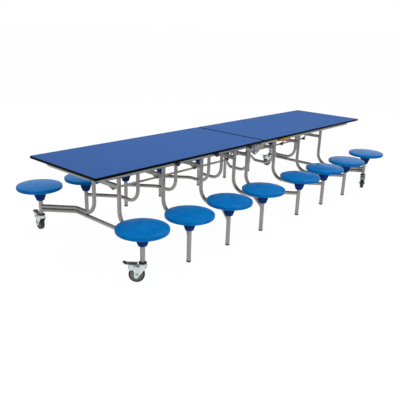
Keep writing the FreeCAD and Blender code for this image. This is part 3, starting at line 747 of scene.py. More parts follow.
def cylinder(name: str, radius: float, length: float, middle: Point3,
             material: bpy.types.Material, sides: int = 32, level: bool = False) -> Piece:
    """Add a plain cylinder, to be bevelled, joined or cut with.

    Args:
        name: The piece's name.
        radius: Its radius.
        length: Its length.
        middle: Place of its middle.
        material: Its material.
        sides: Number of its sides.
        level: Whether its axis is Y instead of Z.

    Returns:
        The cylinder, with its place in its mesh.
    """
    deselect_all()
    bpy.ops.mesh.primitive_cylinder_add(
        vertices=sides, radius=radius, depth=length, location=middle,
        rotation=(QUARTER_TURN if level else 0, 0, 0))
    return settle(name_piece(name, material))


@dataclass(frozen=True)
class Straight:
    """A straight run of a tube."""

    length: float


@dataclass(frozen=True)
class Bend:
    """A bend of a tube, through an angle in degrees towards a direction square to the run."""

    radius: float
    angle: float
    towards: Point3


def bent_tube(name: str, radius: float, start: Vector, heading: Vector,
              runs: Iterable[Straight | Bend], material: bpy.types.Material) -> Piece:
    """Lead a round section along straight runs and bends.

    Args:
        name: The piece's name.
        radius: The tube's radius.
        start: Where it begins.
        heading: Its first direction.
        runs: Its runs in order.
        material: Its material.

    Returns:
        The tube, closed at both ends.
    """
    sides, degrees_per_step = 24, 6.0
    deselect_all()
    bpy.ops.mesh.primitive_circle_add(
        vertices=sides, radius=radius, fill_type="NGON", location=start,
        rotation=heading.to_track_quat("Z", "Y").to_euler())
    piece = name_piece(name, material)
    settle(piece)
    place, heading = start.copy(), heading.normalized()
    with Editing(piece, "EDGE"):
        for run in runs:
            if isinstance(run, Straight):
                bpy.ops.mesh.extrude_region_move(
                    TRANSFORM_OT_translate={"value": heading * run.length})
                place = place + heading * run.length
                continue
            towards = Vector(run.towards)
            centre, axis = place + towards * run.radius, heading.cross(towards)
            turn = math.radians(run.angle)
            bpy.ops.mesh.spin(steps=max(2, round(run.angle / degrees_per_step)), angle=-turn,
                              center=centre, axis=axis)
            swing = Matrix.Rotation(turn, 3, axis)
            place, heading = centre + swing @ (place - centre), swing @ heading
    tidy_mesh(piece)
    return piece


def join(name: str, pieces: Sequence[Piece]) -> Piece:
    """Join pieces into the first one, which keeps its material slots and gains theirs.

    Args:
        name: Name of the joined piece.
        pieces: The pieces.

    Returns:
        The first piece.
    """
    deselect_all()
    for piece in pieces:
        piece.select_set(True)
    bpy.context.view_layer.objects.active = pieces[0]
    bpy.ops.object.join()
    pieces[0].name = name
    pieces[0].data.name = name
    return pieces[0]


def placed_copy(master: Piece, name: str, shift: Vector, turn: float = 0.0) -> Piece:
    """Copy a piece with its own mesh, turn it about Z and move it, all in its mesh.

    Args:
        master: The piece to copy, modelled about the origin.
        name: The copy's name.
        shift: How far it moves.
        turn: Degrees about Z.

    Returns:
        The copy.
    """
    make_active(master)
    bpy.ops.object.duplicate(linked=False)
    copy = bpy.context.object
    copy.name = name
    copy.data.name = name
    copy.location = shift
    copy.rotation_euler = (0, 0, math.radians(turn))
    return settle(copy)


def discard(*pieces: Piece) -> None:
    """Remove masters that have been copied."""
    for piece in pieces:
        bpy.data.objects.remove(piece)


def refined_node(node: str, material: bpy.types.Material, slot: Slot, edge: float,
                 segments: int = 2) -> Piece:
    """Stand a merged copy with rounded edges in for a CAD node.

    Args:
        node: The CAD node's name.
        material: The copy's material.
        slot: The record's slot that it takes its finish from.
        edge: Width of the rounding.
        segments: Segments of the rounding.

    Returns:
        The copy, riding on the node's body.
    """
    make_active(frame["nodes"][node])
    bpy.ops.object.duplicate(linked=False)
    copy = name_piece(f"{node}_finished", material)
    body = frame["nodes"][node]["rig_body"]
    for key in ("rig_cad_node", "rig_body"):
        del copy[key]
    copy.parent = None
    with Editing(copy):
        bpy.ops.mesh.customdata_custom_splitnormals_clear()
        bpy.ops.mesh.remove_doubles(threshold=WELD_GAP)
        bpy.ops.mesh.dissolve_limited(angle_limit=math.radians(0.5))
    round_edges(copy, edge, segments)
    smooth(copy)
    finish_piece(copy, body, slot, node)
    return copy


def finish_piece(piece: Piece, body: str, slot: Slot, *nodes: str) -> None:
    """Let a piece ride on its body, hide the CAD nodes it stands in for, and log it.

    Args:
        piece: The piece.
        body: The body's name.
        slot: The record's slot; not used.
        nodes: CAD nodes that it replaces.
    """
    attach(piece, body)
    if nodes:
        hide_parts(*nodes)
    log.info("%s: %d faces, rides on %s", piece.name, len(piece.data.polygons), body)


def paint_node(node: str, material: bpy.types.Material) -> None:
    """Give a CAD node that stays its material.

    Args:
        node: The node's name.
        material: The material.
    """
    data = frame["nodes"][node].data
    data.materials.clear()
    data.materials.append(material)
    log.info("%s: painted %s", node, material.name)


def body_of(node: str) -> str:
    """Name of the body that a CAD node rides on."""
    return frame["nodes"][node]["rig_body"]


def middle_of(node: str) -> Vector:
    """Middle of a CAD node's box."""
    low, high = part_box(node)
    return (low + high) / 2


# ---------------------------------------------------------------- layout


@dataclass(frozen=True)
class Layout:
    """Places that the sub-assemblies share, in metres; the two halves mirror by a half turn."""

    frames: int = 8
    first_frame: float = 88 * MM
    pitch: float = 417 * MM
    leg_row: float = 145 * MM
    post_reach: float = 177 * MM
    post_row: float = 590 * MM
    pivot_height: float = 598 * MM
    castor_seat_rise: float = 12 * MM

    def half(self, number: int) -> Half:
        """The half that a leg frame belongs to."""
        return Half.LEFT if number <= self.frames // 2 else Half.RIGHT

    def frame_x(self, number: int) -> float:
        """X of a leg frame's legs.

        Args:
            number: The leg frame's number.

        Returns:
            Its X.
        """
        middle = self.frames // 2
        steps = middle - number if number <= middle else number - middle - 1
        return self.half(number).side * (self.first_frame + self.pitch * steps)

    def post_x(self, number: int) -> float:
        """X of a leg frame's stool posts."""
        return self.frame_x(number) + self.half(number).side * self.post_reach

    def turn(self, number: int) -> float:
        """Degrees about Z that bring a piece drawn for the right half to this frame."""
        return 180.0 if self.half(number) is Half.LEFT else 0.0

    def on_castors(self, number: int) -> bool:
        """Whether a leg frame stands on castors."""
        return number in (1, self.frames)

    def seat_rise(self, number: int) -> float:
        """How much higher a leg frame's stools sit than those of the middle frames."""
        return self.castor_seat_rise if self.on_castors(number) else 0.0


# ---------------------------------------------------------------- stools


@dataclass
class Stool:
    """A round moulded seat, closed below, on a ribbed flared hub."""

    layout: Layout
    finishes: Finishes
    radius: float = 170 * MM
    top: float = 363 * MM
    thick: float = 33 * MM
    crown: float = 7 * MM
    edge_radius: float = 6 * MM
    under_radius: float = 9 * MM
    hub_bottom: float = 236 * MM
    foot_radius: float = 30 * MM
    foot_chamfer: float = 4 * MM
    neck_radius: float = 40 * MM
    neck_height: float = 268 * MM
    waist_radius: float = 50 * MM
    waist_height: float = 298 * MM
    flange_radius: float = 60 * MM
    bore_radius: float = 16.2 * MM
    bore_depth: float = 62 * MM
    fins: int = 12
    fin_depth: float = 6 * MM
    fin_thick: float = 3.2 * MM
    recess_share: float = 0.86
    play: float = 0.05 * MM
    spin_steps: int = 72
    crown_shares: tuple[Point, ...] = ((0.0, 0.0), (0.25, 0.05), (0.5, 0.2), (0.7, 0.43),
                                       (0.85, 0.74))

    def seat(self) -> Piece:
        """Model the seat: a crowned top, a full round rim and a flat underside with a step.

        Returns:
            The seat, about its post's axis.
        """
        r, top, low = self.radius, self.top, self.top - self.thick
        edge, under = self.edge_radius, self.under_radius
        edge_height = top - self.crown - edge
        profile = [(r * out, top - self.crown * fall) for out, fall in self.crown_shares]
        profile += quarter((r - edge, edge_height), edge, 86)[:-1]
        profile += [(r, edge_height)]
        profile += quarter((r - under, low + under), under, 0)
        profile += near((r * self.recess_share, low), (0, 0), (-0.85, 0.8))
        profile += near((self.flange_radius, low), (14, 0.8), (13, 0)) + [(0.0, low)]
        piece = turned("seat_master", profile, self.finishes.seat, self.spin_steps)
        smooth(piece, angle=40)
        return piece

    def hub(self) -> Piece:
        """Model the hub: a flange under the seat, a flared sleeve and a ring of fins.

        Returns:
            The hub, about its post's axis.
        """
        top, low = self.top - self.thick - self.play, self.hub_bottom
        flange, waist, waist_z = self.flange_radius, self.waist_radius, self.waist_height
        foot, chamfer = self.foot_radius, self.foot_chamfer
        profile = [(0.0, top)] + near((flange, top), (-1, 0), (0, -1), (0, -5))
        profile += near((waist, top), (5, -12)) + near((waist, waist_z), (0.5, 7), (0, 0))
        profile += [(waist - self.fin_depth, waist_z - MM),
                    (self.neck_radius - self.fin_depth, self.neck_height)]
        profile += near((foot, low + chamfer), (-0.5, 3), (0, 1), (0, 0))
        profile += near((foot - chamfer, low), (1, 0.6), (0, 0))
        profile += [(self.bore_radius, low), (self.bore_radius, low + self.bore_depth),
                    (0.0, low + self.bore_depth)]
        cone = turned("hub_master", profile, self.finishes.hub, self.spin_steps)
        smooth(cone)
        fins = [self._fin(step) for step in range(self.fins)]
        return join("hub_master", [cone, *fins])

    def _fin(self, step: int) -> Piece:
        """Model one fin of the hub, following its flare, and turn it to its place.

        Args:
            step: Number of the fin.

        Returns:
            The fin.
        """
        low, high = self.hub_bottom + self.foot_chamfer, self.waist_height - 0.5 * MM
        root = self.foot_radius - self.fin_depth
        outline = [(root, high), (self.waist_radius - 0.3 * MM, high),
                   (self.neck_radius, self.neck_height), (self.foot_radius, low), (root, low)]
        fin = plate("fin", outline, self.fin_thick, self.finishes.hub)
        round_edges(fin, 0.5 * MM, angle=40)
        smooth(fin)
        fin.rotation_euler = (0, 0, FULL_TURN * step / self.fins)
        return settle(fin)

    def build(self) -> None:
        """Make every stool from one seat and one hub."""
        seat, hub = self.seat(), self.hub()
        for number in range(1, self.layout.frames + 1):
            for row in Row:
                node = f"seat_{row.word}_{number}"
                place = Vector((self.layout.post_x(number), row.side * self.layout.post_row,
                                self.layout.seat_rise(number)))
                for master, word in ((seat, "moulding"), (hub, "hub")):
                    copy = placed_copy(master, f"{node}_{word}", place)
                    finish_piece(copy, body_of(node), Slot.SEAT, node)
        discard(seat, hub)


# ---------------------------------------------------------------- leg frames


@dataclass
class LegFrame:
    """Bent tube legs with stool posts, a channel cross rail and the link's bracket."""

    layout: Layout
    finishes: Finishes
    tube_radius: float = 15 * MM
    post_radius: float = 16 * MM
    arm_height: float = 200 * MM
    lower_arm_height: float = 170.5 * MM
    leg_bend: float = 110 * MM
    knee_row: float = 375 * MM
    knee_bend: float = 60 * MM
    post_top: float = 300 * MM
    foot_floor: float = 11 * MM
    castor_floor: float = 136.3 * MM
    rail_height: float = 486 * MM
    rail_depth: float = 28 * MM
    rail_width: float = 25 * MM
    bracket_y: float = 25 * MM
    bracket_thick: float = 5 * MM
    link_drop: float = 155 * MM
    link_offset: float = 45 * MM
    boss_radius: float = 16 * MM
    channel_wall: float = 2 * MM
    weld_bead: float = 2.6 * MM
    weld_ripples: int = 20
    ripple_share: float = 0.18
    weld_ring_share: float = 0.97
    weld_place_share: float = 0.92
    head_flat: float = 0.8

    @property
    def cross_run(self) -> float:
        """Distance across the table from the knee's corner to the post."""
        return self.layout.post_row - self.knee_row

    @property
    def knee_angle(self) -> float:
        """Degrees between the table's cross direction and the run from knee to post."""
        return math.degrees(math.atan2(self.layout.post_reach, self.cross_run))

    @property
    def knee_setback(self) -> float:
        """Distance from the knee's corner to where its bend begins."""
        return self.knee_bend * math.tan(math.radians(self.knee_angle) / 2)

    @property
    def post_run(self) -> float:
        """Length of the straight run from the knee's bend to the post's axis."""
        return math.hypot(self.layout.post_reach, self.cross_run) - self.knee_setback

    def leg(self, side: int) -> Piece:
        """Model one leg from its pivot to its post.

        Args:
            side: Sign of its Y.

        Returns:
            The tube.
        """
        lay = self.layout
        drop = lay.pivot_height - self.arm_height - self.leg_bend
        out = self.knee_row - lay.leg_row - self.leg_bend - self.knee_setback
        return bent_tube(
            "leg", self.tube_radius, Vector((0, side * lay.leg_row, lay.pivot_height)),
            Vector((0, 0, -1)),
            [Straight(drop), Bend(self.leg_bend, 90, (0, side, 0)), Straight(out),
             Bend(self.knee_bend, self.knee_angle, (1, 0, 0)), Straight(self.post_run)],
            self.finishes.tube)

    def leg_head(self, side: int) -> Piece:
        """Model the rounded head, flat on top, that closes a leg round its pivot pin.

        Args:
            side: Sign of its Y.

        Returns:
            The head.
        """
        flat = self.layout.pivot_height + self.tube_radius * self.head_flat
        deselect_all()
        bpy.ops.mesh.primitive_uv_sphere_add(
            segments=24, ring_count=12, radius=self.tube_radius,
            location=(0, side * self.layout.leg_row, self.layout.pivot_height))
        head = settle(name_piece("leg_head", self.finishes.tube))
        with Editing(head) as edit:
            edit.pick(lambda point: point.co.z > flat)
            bpy.ops.transform.resize(value=(1, 1, 0), center_override=(0, 0, flat))
        return head

    def lower_arm(self) -> Piece:
        """Model an end frame's lower tube, which runs from post to post under both arms.

        Returns:
            The tube.
        """
        angle = math.radians(self.knee_angle)
        start = Vector((self.layout.post_reach, -self.layout.post_row, self.lower_arm_height))
        heading = Vector((-math.sin(angle), math.cos(angle), 0))
        middle_run = 2 * (self.knee_row - self.knee_setback)
        return bent_tube(
            "lower_arm", self.tube_radius, start, heading,
            [Straight(self.post_run),
             Bend(self.knee_bend, self.knee_angle, (math.cos(angle), math.sin(angle), 0)),
             Straight(middle_run), Bend(self.knee_bend, self.knee_angle, (1, 0, 0)),
             Straight(self.post_run)],
            self.finishes.tube)

    def post(self, side: int, bottom: float, top: float) -> Piece:
        """Model a stool post with a chamfered foot.

        Args:
            side: Sign of its Y.
            bottom: Height of its foot.
            top: Height of its cap.

        Returns:
            The post.
        """
        middle = (self.layout.post_reach, side * self.layout.post_row, (top + bottom) / 2)
        post = cylinder("post", self.post_radius, top - bottom, middle, self.finishes.tube)
        round_edges(post, MM, angle=60)
        return post

    def weld(self, place: Vector, direction: Vector) -> Piece:
        """Model a rippled weld bead round a tube's end.

        Args:
            place: Middle of the bead's ring.
            direction: Axis of the ring.

        Returns:
            The bead.
        """
        steps = self.weld_ripples * 2
        deselect_all()
        bpy.ops.mesh.primitive_torus_add(
            major_radius=self.tube_radius * self.weld_ring_share, minor_radius=self.weld_bead,
            major_segments=steps, minor_segments=8, location=place,
            rotation=direction.to_track_quat("Z", "Y").to_euler())
        ring = settle(name_piece("weld", self.finishes.tube))
        axis = direction.normalized()
        with Editing(ring) as edit:
            edit.pick(lambda point: self._step_of(point.co, place, axis, steps) % 2 == 0)
            bpy.ops.transform.shrink_fatten(value=-self.weld_bead * self.ripple_share)
        return ring

    @staticmethod
    def _step_of(point: Vector, place: Vector, axis: Vector, steps: int) -> int:
        """Number of the step round an axis that a point lies in.

        Args:
            point: The point.
            place: A point of the axis.
            axis: The axis, of length 1.
            steps: Steps in a full turn.

        Returns:
            The step's number.
        """
        reference = axis.orthogonal().normalized()
        spoke = point - place
        spoke = spoke - axis * spoke.dot(axis)
        turn = math.atan2(spoke.dot(axis.cross(reference)), spoke.dot(reference))
        return round(turn / FULL_TURN * steps) % steps

    def cross_rail(self) -> Piece:
        """Model the pressed channel between the legs, open downwards.

        Returns:
            The channel.
        """
        deselect_all()
        bpy.ops.mesh.primitive_cube_add(size=1, location=(0, 0, self.rail_height))
        rail = name_piece("cross_rail", self.finishes.tube)
        rail.scale = (self.rail_width, 2 * self.layout.leg_row, self.rail_depth)
        settle(rail)
        with Editing(rail, "FACE") as edit:
            edit.pick(lambda face: face.normal.z < -0.9)
            bpy.ops.mesh.inset(thickness=self.channel_wall)
            bpy.ops.mesh.extrude_region_move(
                TRANSFORM_OT_translate={"value": (0, 0, self.rail_depth - self.channel_wall)})
        round_edges(rail, 1.5 * MM, segments=3, angle=60)
        return rail

    def bracket(self) -> Piece:
        """Model the gusset and boss that carry the link's bolt.

        Returns:
            The bracket.
        """
        boss_x, boss_z = -self.link_offset, self.layout.pivot_height - self.link_drop
        short, long = self.boss_radius * 0.4, self.boss_radius * 0.9
        top = self.rail_height - self.rail_depth / 2 + self.channel_wall
        boss = cylinder("bracket", self.boss_radius, self.bracket_thick,
                        (boss_x, self.bracket_y, boss_z), self.finishes.tube, level=True)
        web = plate("gusset", [
            (self.rail_width * 0.3, top), (boss_x + short, boss_z - long),
            (boss_x - long, boss_z + short), (-self.rail_width / 2, top)],
            self.bracket_thick, self.finishes.tube, self.bracket_y)
        for part in (boss, web):
            round_edges(part, 0.8 * MM, angle=45)
        return join("bracket", [boss, web])

    def master(self, on_castors: bool) -> Piece:
        """Model a whole leg frame.

        Args:
            on_castors: Whether it is an end frame, on castors, or a middle one, on feet.

        Returns:
            The joined frame, about the origin.
        """
        lay = self.layout
        bottom = self.castor_floor if on_castors else self.foot_floor
        top = self.post_top + (lay.castor_seat_rise if on_castors else 0.0)
        angle = math.radians(self.knee_angle)
        parts = [self.cross_rail(), self.bracket()]
        heights = [self.arm_height] + ([self.lower_arm_height] if on_castors else [])
        depth = self.post_radius * self.weld_place_share
        for side in (-1, 1):
            parts += [self.leg(side), self.leg_head(side), self.post(side, bottom, top)]
            run = Vector((math.sin(angle), side * math.cos(angle), 0))
            axis_point = Vector((lay.post_reach, side * lay.post_row, 0))
            for height in heights:
                parts.append(self.weld(axis_point - run * depth + Vector((0, 0, height)), run))
        if on_castors:
            parts.append(self.lower_arm())
        frame_piece = join("leg_frame_master", parts)
        smooth(frame_piece, angle=40)
        return frame_piece

    def build(self) -> None:
        """Make the eight leg frames from the two masters."""
        masters = {kind: self.master(kind) for kind in (False, True)}
        for number in range(1, self.layout.frames + 1):
            node = f"leg_frame_{number}"
            copy = placed_copy(
                masters[self.layout.on_castors(number)], f"{node}_weldment",
                Vector((self.layout.frame_x(number), 0, 0)), self.layout.turn(number))
            finish_piece(copy, body_of(node), Slot.TUBE, node)
        discard(*masters.values())


@dataclass
class Feet:
    """Rubber glides that close the posts of the middle frames, each with a plug up the tube."""

    layout: Layout
    finishes: Finishes
    radius: float = 17 * MM
    height: float = 11 * MM
    plug_radius: float = 13.95 * MM
    plug_height: float = 18 * MM

    def master(self) -> Piece:
        """Model one foot.

        Returns:
            The foot.
        """
        r, height, plug = self.radius, self.height, self.plug_radius
        profile = [(0.0, 0.6 * MM)]
        profile += near((r, 0.0), (-7, 0.6), (-6.4, 0), (-3.4, 0), (-2.6, 0.4), (-0.4, 2.7),
                        (0, 3.8))
        profile += near((r, height), (0, -4), (-0.6, -3.4), (-0.6, -2.4), (0, -1.8), (0, -0.6),
                        (-0.6, 0))
        profile += [(plug, height), (plug, height + self.plug_height),
                    (0.0, height + self.plug_height)]
        piece = turned("foot_master", profile, self.finishes.rubber, steps=40)
        smooth(piece, angle=40)
        return piece

    def build(self) -> None:
        """Put a pair of feet under every middle frame."""
        master = self.master()
        for number in range(2, self.layout.frames):
            node = f"feet_{number}"
            pair = [placed_copy(master, f"{node}_{row.word}", Vector(
                (self.layout.post_x(number), row.side * self.layout.post_row, 0))) for row in Row]
            finish_piece(join(f"{node}_moulded", pair), body_of(node), Slot.RUBBER, node)
        discard(master)


# ---------------------------------------------------------------- castors


@dataclass
class Castor:
    """A braked swivel castor: pressed fork, wheel with a solid tyre, axle nuts and pedal."""

    layout: Layout
    finishes: Finishes
    wheel_radius: float = 52 * MM
    wheel_half: float = 16 * MM
    rim_radius: float = 42 * MM
    rim_half: float = 11 * MM
    web_half: float = 8 * MM
    boss_radius: float = 13 * MM
    boss_half: float = 19.7 * MM
    bore: float = 5.1 * MM
    pedal_back: float = 31.5 * MM
    pedal_bend: float = 103 * MM
    pedal_tip: float = 125 * MM
    pedal_top: float = 127 * MM
    pedal_rise: float = 9 * MM
    pedal_plate: float = 3.2 * MM
    pedal_width: float = 40 * MM
    pedal_pivot: Point = (68 * MM, 100 * MM)
    pedal_pin: float = 3.1 * MM
    pedal_taper: float = 0.82
    eye_share: float = 2.1
    ridges: int = 4
    ridge_share: float = 0.7
    ridge_pitch: float = 7 * MM
    ridge_setback: float = 8 * MM
    arm_inside: float = 23.3 * MM
    arm_thick: float = 3 * MM
    arm_reach: Point = (15 * MM, 24 * MM)
    trail: float = 38 * MM
    nut_row: float = 26.02 * MM
    nut: Point = (7.4 * MM, 5 * MM)
    washer: Point = (9 * MM, 1.2 * MM)
    crown: float = 109 * MM
    cover_start: float = 36 * MM
    cover_end: float = 82 * MM
    cover_height: float = 8 * MM
    cover_width: float = 30 * MM
    play: float = 0.05 * MM
    fork_round: float = 0.9 * MM

    def tyre(self) -> Piece:
        """Model the tyre with its full tread and two sidewall beads.

        Returns:
            The tyre, about the wheel's centre.
        """
        r, half, rim = self.wheel_radius, self.wheel_half, self.rim_radius
        side = near((rim, half), (0, -3.4), (1.2, -1.6), (2.6, -0.4))
        side += near((r, half), (-6.4, 0), (-3.2, -1), (-1.2, -4)) + [(r - 0.2 * MM, half * 0.4)]
        profile = side + [(r, 0.0)] + [(radius, -y) for radius, y in reversed(side)]
        piece = turned("tyre_master", profile + [side[0]], self.finishes.tyre, steps=64, level=True)
        smooth(piece, angle=50)
        return piece

    def core(self) -> Piece:
        """Model the wheel centre: bosses, a dished web and the rim under the tyre.

        Returns:
            The core, about the wheel's centre.
        """
        rim, boss = self.rim_radius - self.play, self.boss_radius
        side = [(self.bore, self.boss_half)] + near((boss, self.boss_half), (-1, 0), (0, -1))
        side += near((boss, self.web_half), (1, 1.4), (2.4, 0))
        side += near((rim, self.web_half), (-6.6, 0), (-5.4, 1))
        side += near((rim, self.rim_half), (-4.6, 0), (0, 0))
        profile = side + [(radius, -y) for radius, y in reversed(side)] + [side[0]]
        piece = turned("core_master", profile, self.finishes.core, steps=48, level=True)
        smooth(piece, angle=40)
        return piece

    def pedal(self) -> Piece:
        """Model the brake pedal: a ridged tread with its tip turned up, on two arms.

        Returns:
            The pedal, about the post's axis.
        """
        top, bend, tip, thick = self.pedal_top, self.pedal_bend, self.pedal_tip, self.pedal_plate
        steel, rise = self.finishes.pedal, self.pedal_rise
        slope_start, slope_end, crest = (top + rise * share for share in (0.35, 0.9, 1.0))
        tread = plate("pedal_master", [
            (self.pedal_back, top), (bend, top), (bend + 6 * MM, slope_start),
            (tip - 7 * MM, slope_end), (tip - 4 * MM, crest), (tip, crest), (tip, crest - thick),
            (tip - 5 * MM, slope_end - thick), (bend + 8 * MM, slope_start - thick),
            (bend + 2 * MM, top - thick), (self.pedal_back, top - thick)],
            self.pedal_width, steel)
        with Editing(tread) as edit:
            edit.pick(lambda point: point.co.x > tip - 8 * MM)
            bpy.ops.transform.resize(value=(1, self.pedal_taper, 1), center_override=(0, 0, 0))
        round_edges(tread, 1.2 * MM, angle=40)
        parts = [tread]
        for step in range(self.ridges):
            start = (bend - self.ridge_setback - self.ridge_pitch * step, top)
            outline = near(start, (0, -0.5), (0, 0.7), (0.8, 1.2), (2.2, 1.2), (3, 0.7), (3, -0.5))
            ridge = plate("ridge", outline, self.pedal_width * self.ridge_share, steel)
            round_edges(ridge, 0.4 * MM, angle=40)
            parts.append(ridge)
        parts += [self._pedal_arm(side) for side in (-1, 1)]
        pedal = join("pedal_master", parts)
        smooth(pedal, angle=35)
        return pedal

    def _pedal_arm(self, side: int) -> Piece:
        """Model one arm of the pedal, bored for the pin, outside the fork on that side.

        Args:
            side: Sign of its Y.

        Returns:
            The arm.
        """
        across, up = self.pedal_pivot
        under = self.pedal_top - self.pedal_plate + 0.5 * MM
        eye = self.eye_share * self.pedal_pin
        outline = [(across - self.arm_reach[0], under), (across - eye, up + eye * 0.3)]
        outline += [(across + eye * math.cos(a), up + eye * math.sin(a))
                    for a in (math.radians(180 + 22.5 * step) for step in range(9))]
        outline += [(across + eye, up + eye * 0.3), (across + self.arm_reach[1], under)]
        arm = plate("arm", outline, self.arm_thick, self.finishes.zinc,
                    side * (self.arm_inside + self.arm_thick / 2))
        drill = cylinder("drill", self.pedal_pin, 100 * MM, (across, 0, up),
                         self.finishes.zinc, sides=24, level=True)
        apply_modifier(arm, "BOOLEAN", operation="DIFFERENCE", object=drill)
        discard(drill)
        round_edges(arm, 0.5 * MM, angle=60)
        return arm

    def fittings(self) -> Piece:
        """Model what a fork carries: a nut and washer on each axle end, and the spring's cover.

        Returns:
            The fittings, about the post's axis.
        """
        parts = []
        for side in (-1, 1):
            row = self.nut_row
            for (radius, thick), sides in ((self.washer, 32), (self.nut, 6)):
                middle = (self.trail, side * (row + thick / 2), self.wheel_radius)
                part = cylinder("nut", radius, thick, middle, self.finishes.zinc, sides, level=True)
                round_edges(part, 0.5 * MM, angle=40)
                parts.append(part)
                row += thick
        low, high = self.crown + self.play, self.crown + self.cover_height
        start, end = self.cover_start, self.cover_end
        cover = plate("cover", [
            (start, low), (start, high - 3 * MM), (start + 4 * MM, high), (end - 14 * MM, high),
            (end, high - 5 * MM), (end, low)], self.cover_width, self.finishes.zinc)
        round_edges(cover, 1.5 * MM, segments=3, angle=30)
        fittings = join("fittings_master", [*parts, cover])
        smooth(fittings, angle=35)
        return fittings

    def build(self) -> None:
        """Dress the four castors, each turned as its wheel stands behind its post."""
        tyre, core, pedal, fittings = self.tyre(), self.core(), self.pedal(), self.fittings()
        for half in Half:
            end = 1 if half is Half.LEFT else self.layout.frames
            for row in Row:
                wheel, fork, brake = (f"{kind}_{half.word}_{row.word}" for kind in (
                    "castor_wheel", "castor_fork", "brake_pedal"))
                hub = middle_of(wheel)
                post = Vector((self.layout.post_x(end), row.side * self.layout.post_row, 0))
                turn = math.degrees(math.atan2(hub.y - post.y, hub.x - post.x))
                for master, word in ((tyre, "tyre"), (core, "core")):
                    copy = placed_copy(master, f"{wheel}_{word}", hub, turn)
                    finish_piece(copy, body_of(wheel), Slot.TYRE, wheel)
                refined_node(fork, self.finishes.zinc, Slot.ZINC, self.fork_round)
                copy = placed_copy(pedal, f"{brake}_pressing", post, turn)
                finish_piece(copy, body_of(brake), Slot.PEDAL, brake)
                copy = placed_copy(fittings, f"{fork}_fittings", post, turn)
                finish_piece(copy, body_of(fork), Slot.ZINC)
        discard(tyre, core, pedal, fittings)


# ---------------------------------------------------------------- top, rails and small parts


@dataclass
class TopAndRails:
    """The two halves of the top with edging, rails, screws, pins, buffers, links and lever."""

    layout: Layout
    finishes: Finishes
    rail_depth: float = 30 * MM
    side_rail_row: float = 325 * MM
    end_corner: float = 14 * MM
    squareness: int = 6
    screw_radius: float = 5.5 * MM
    screw_height: float = 3 * MM
    screw_shares: Point = (0.3, 0.7)
    play: float = 0.02 * MM
    edging_round: float = 1.4 * MM
    steel_round: float = 0.8 * MM
    lever_round: float = 1.2 * MM

    def edging(self, half: Half) -> None:
        """Dress the edging of one half, and square up the corners of its outer end.

        A corner's round becomes a superellipse about the same centre.

        Args:
            half: The half.
        """
        node = f"{half.word}_top_edging"
        piece = refined_node(node, self.finishes.edging, Slot.EDGING, self.edging_round,
                             segments=3)
        low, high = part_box(node)
        end = (high.x if half is Half.RIGHT else low.x) - half.side * self.end_corner
        outermost, power = self.end_corner - 1.5 * self.edging_round, self.squareness
        with Editing(piece):
            mesh = bmesh.from_edit_mesh(piece.data)
            for row in Row:
                side = row.side * (high.y - self.end_corner)
                for point in mesh.verts:
                    across, out = (point.co.x - end) * half.side, (point.co.y - side) * row.side
                    reach = math.hypot(across, out)
                    if across > 0 and out > 0 and reach > outermost:
                        grow = reach / (across ** power + out ** power) ** (1 / power)
                        point.co.x = end + half.side * across * grow
                        point.co.y = side + row.side * out * grow
            bmesh.update_edit_mesh(piece.data)

    def screw(self) -> Piece:
        """Model one pan-head screw from below, its head down and its drive sunk.

        Returns:
            The screw.
        """
        r, deep = self.screw_radius, self.screw_height
        shares = ((0.0, 0.45), (0.32, 0.45), (0.38, 1.0), (0.6, 0.94), (0.88, 0.62), (1.0, 0.1),
                  (1.0, 0.0), (0.0, 0.0))
        profile = [(r * out, -deep * down) for out, down in shares]
        piece = turned("screw_master", profile, self.finishes.zinc, steps=14)
        smooth(piece, angle=50)
        return piece

    def screws(self, half: Half) -> None:
        """Put the screws that hold the board up through the long rails of one half.

        Args:
            half: The half.
        """
        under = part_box(f"{half.word}_top_board")[0].z - self.rail_depth - self.play
        master, layout = self.screw(), self.layout
        rows = (-self.side_rail_row, -layout.leg_row, layout.leg_row, self.side_rail_row)
        bays = [half.side * (layout.first_frame + layout.pitch * (bay + share))
                for bay in range(layout.frames // 2 - 1) for share in self.screw_shares]
        group = [placed_copy(master, "screw", Vector((x, y, under))) for y in rows for x in bays]
        finish_piece(join(f"{half.word}_rail_screws", group), body_of(f"{half.word}_underframe"),
                     Slot.ZINC)
        discard(master)

    def build(self) -> None:
        """Dress what the CAD nodes already shape, and put in the screws."""
        done = self.finishes
        for half in Half:
            paint_node(f"{half.word}_top_board", done.laminate)
            self.edging(half)
            for kind, material, slot in (
                    ("underframe", done.tube, Slot.TUBE), ("link_bar", done.tube, Slot.TUBE),
                    ("pivot_pins", done.zinc, Slot.ZINC), ("link_bolts", done.nylon, Slot.NYLON),
                    ("rail_buffers", done.rubber, Slot.RUBBER),
                    ("castor_bushes", done.nylon, Slot.NYLON)):
                refined_node(f"{half.word}_{kind}", material, slot, self.steel_round)
            self.screws(half)
        refined_node("hinge_pins", done.zinc, Slot.ZINC, self.steel_round)
        refined_node("release_lever", done.lever, Slot.LEVER, self.lever_round, segments=3)


# ---------------------------------------------------------------- studio


@dataclass(frozen=True)
class Lamp:
    """A square soft lamp that points at the table and stays out of its reflections."""

    name: str
    place: Point3
    size: float
    power: float
    aim: Point3 = (0.0, 0.0, 0.3)

    def hang(self) -> None:
        """Put the lamp in the scene."""
        data = bpy.data.lights.new(self.name, "AREA")
        data.size = self.size
        data.energy = self.power
        lamp = bpy.data.objects.new(self.name, data)
        bpy.context.scene.collection.objects.link(lamp)
        lamp.location = self.place
        ray = Vector(self.aim) - Vector(self.place)
        lamp.rotation_euler = ray.to_track_quat("-Z", "Y").to_euler()
        lamp.visible_glossy = False


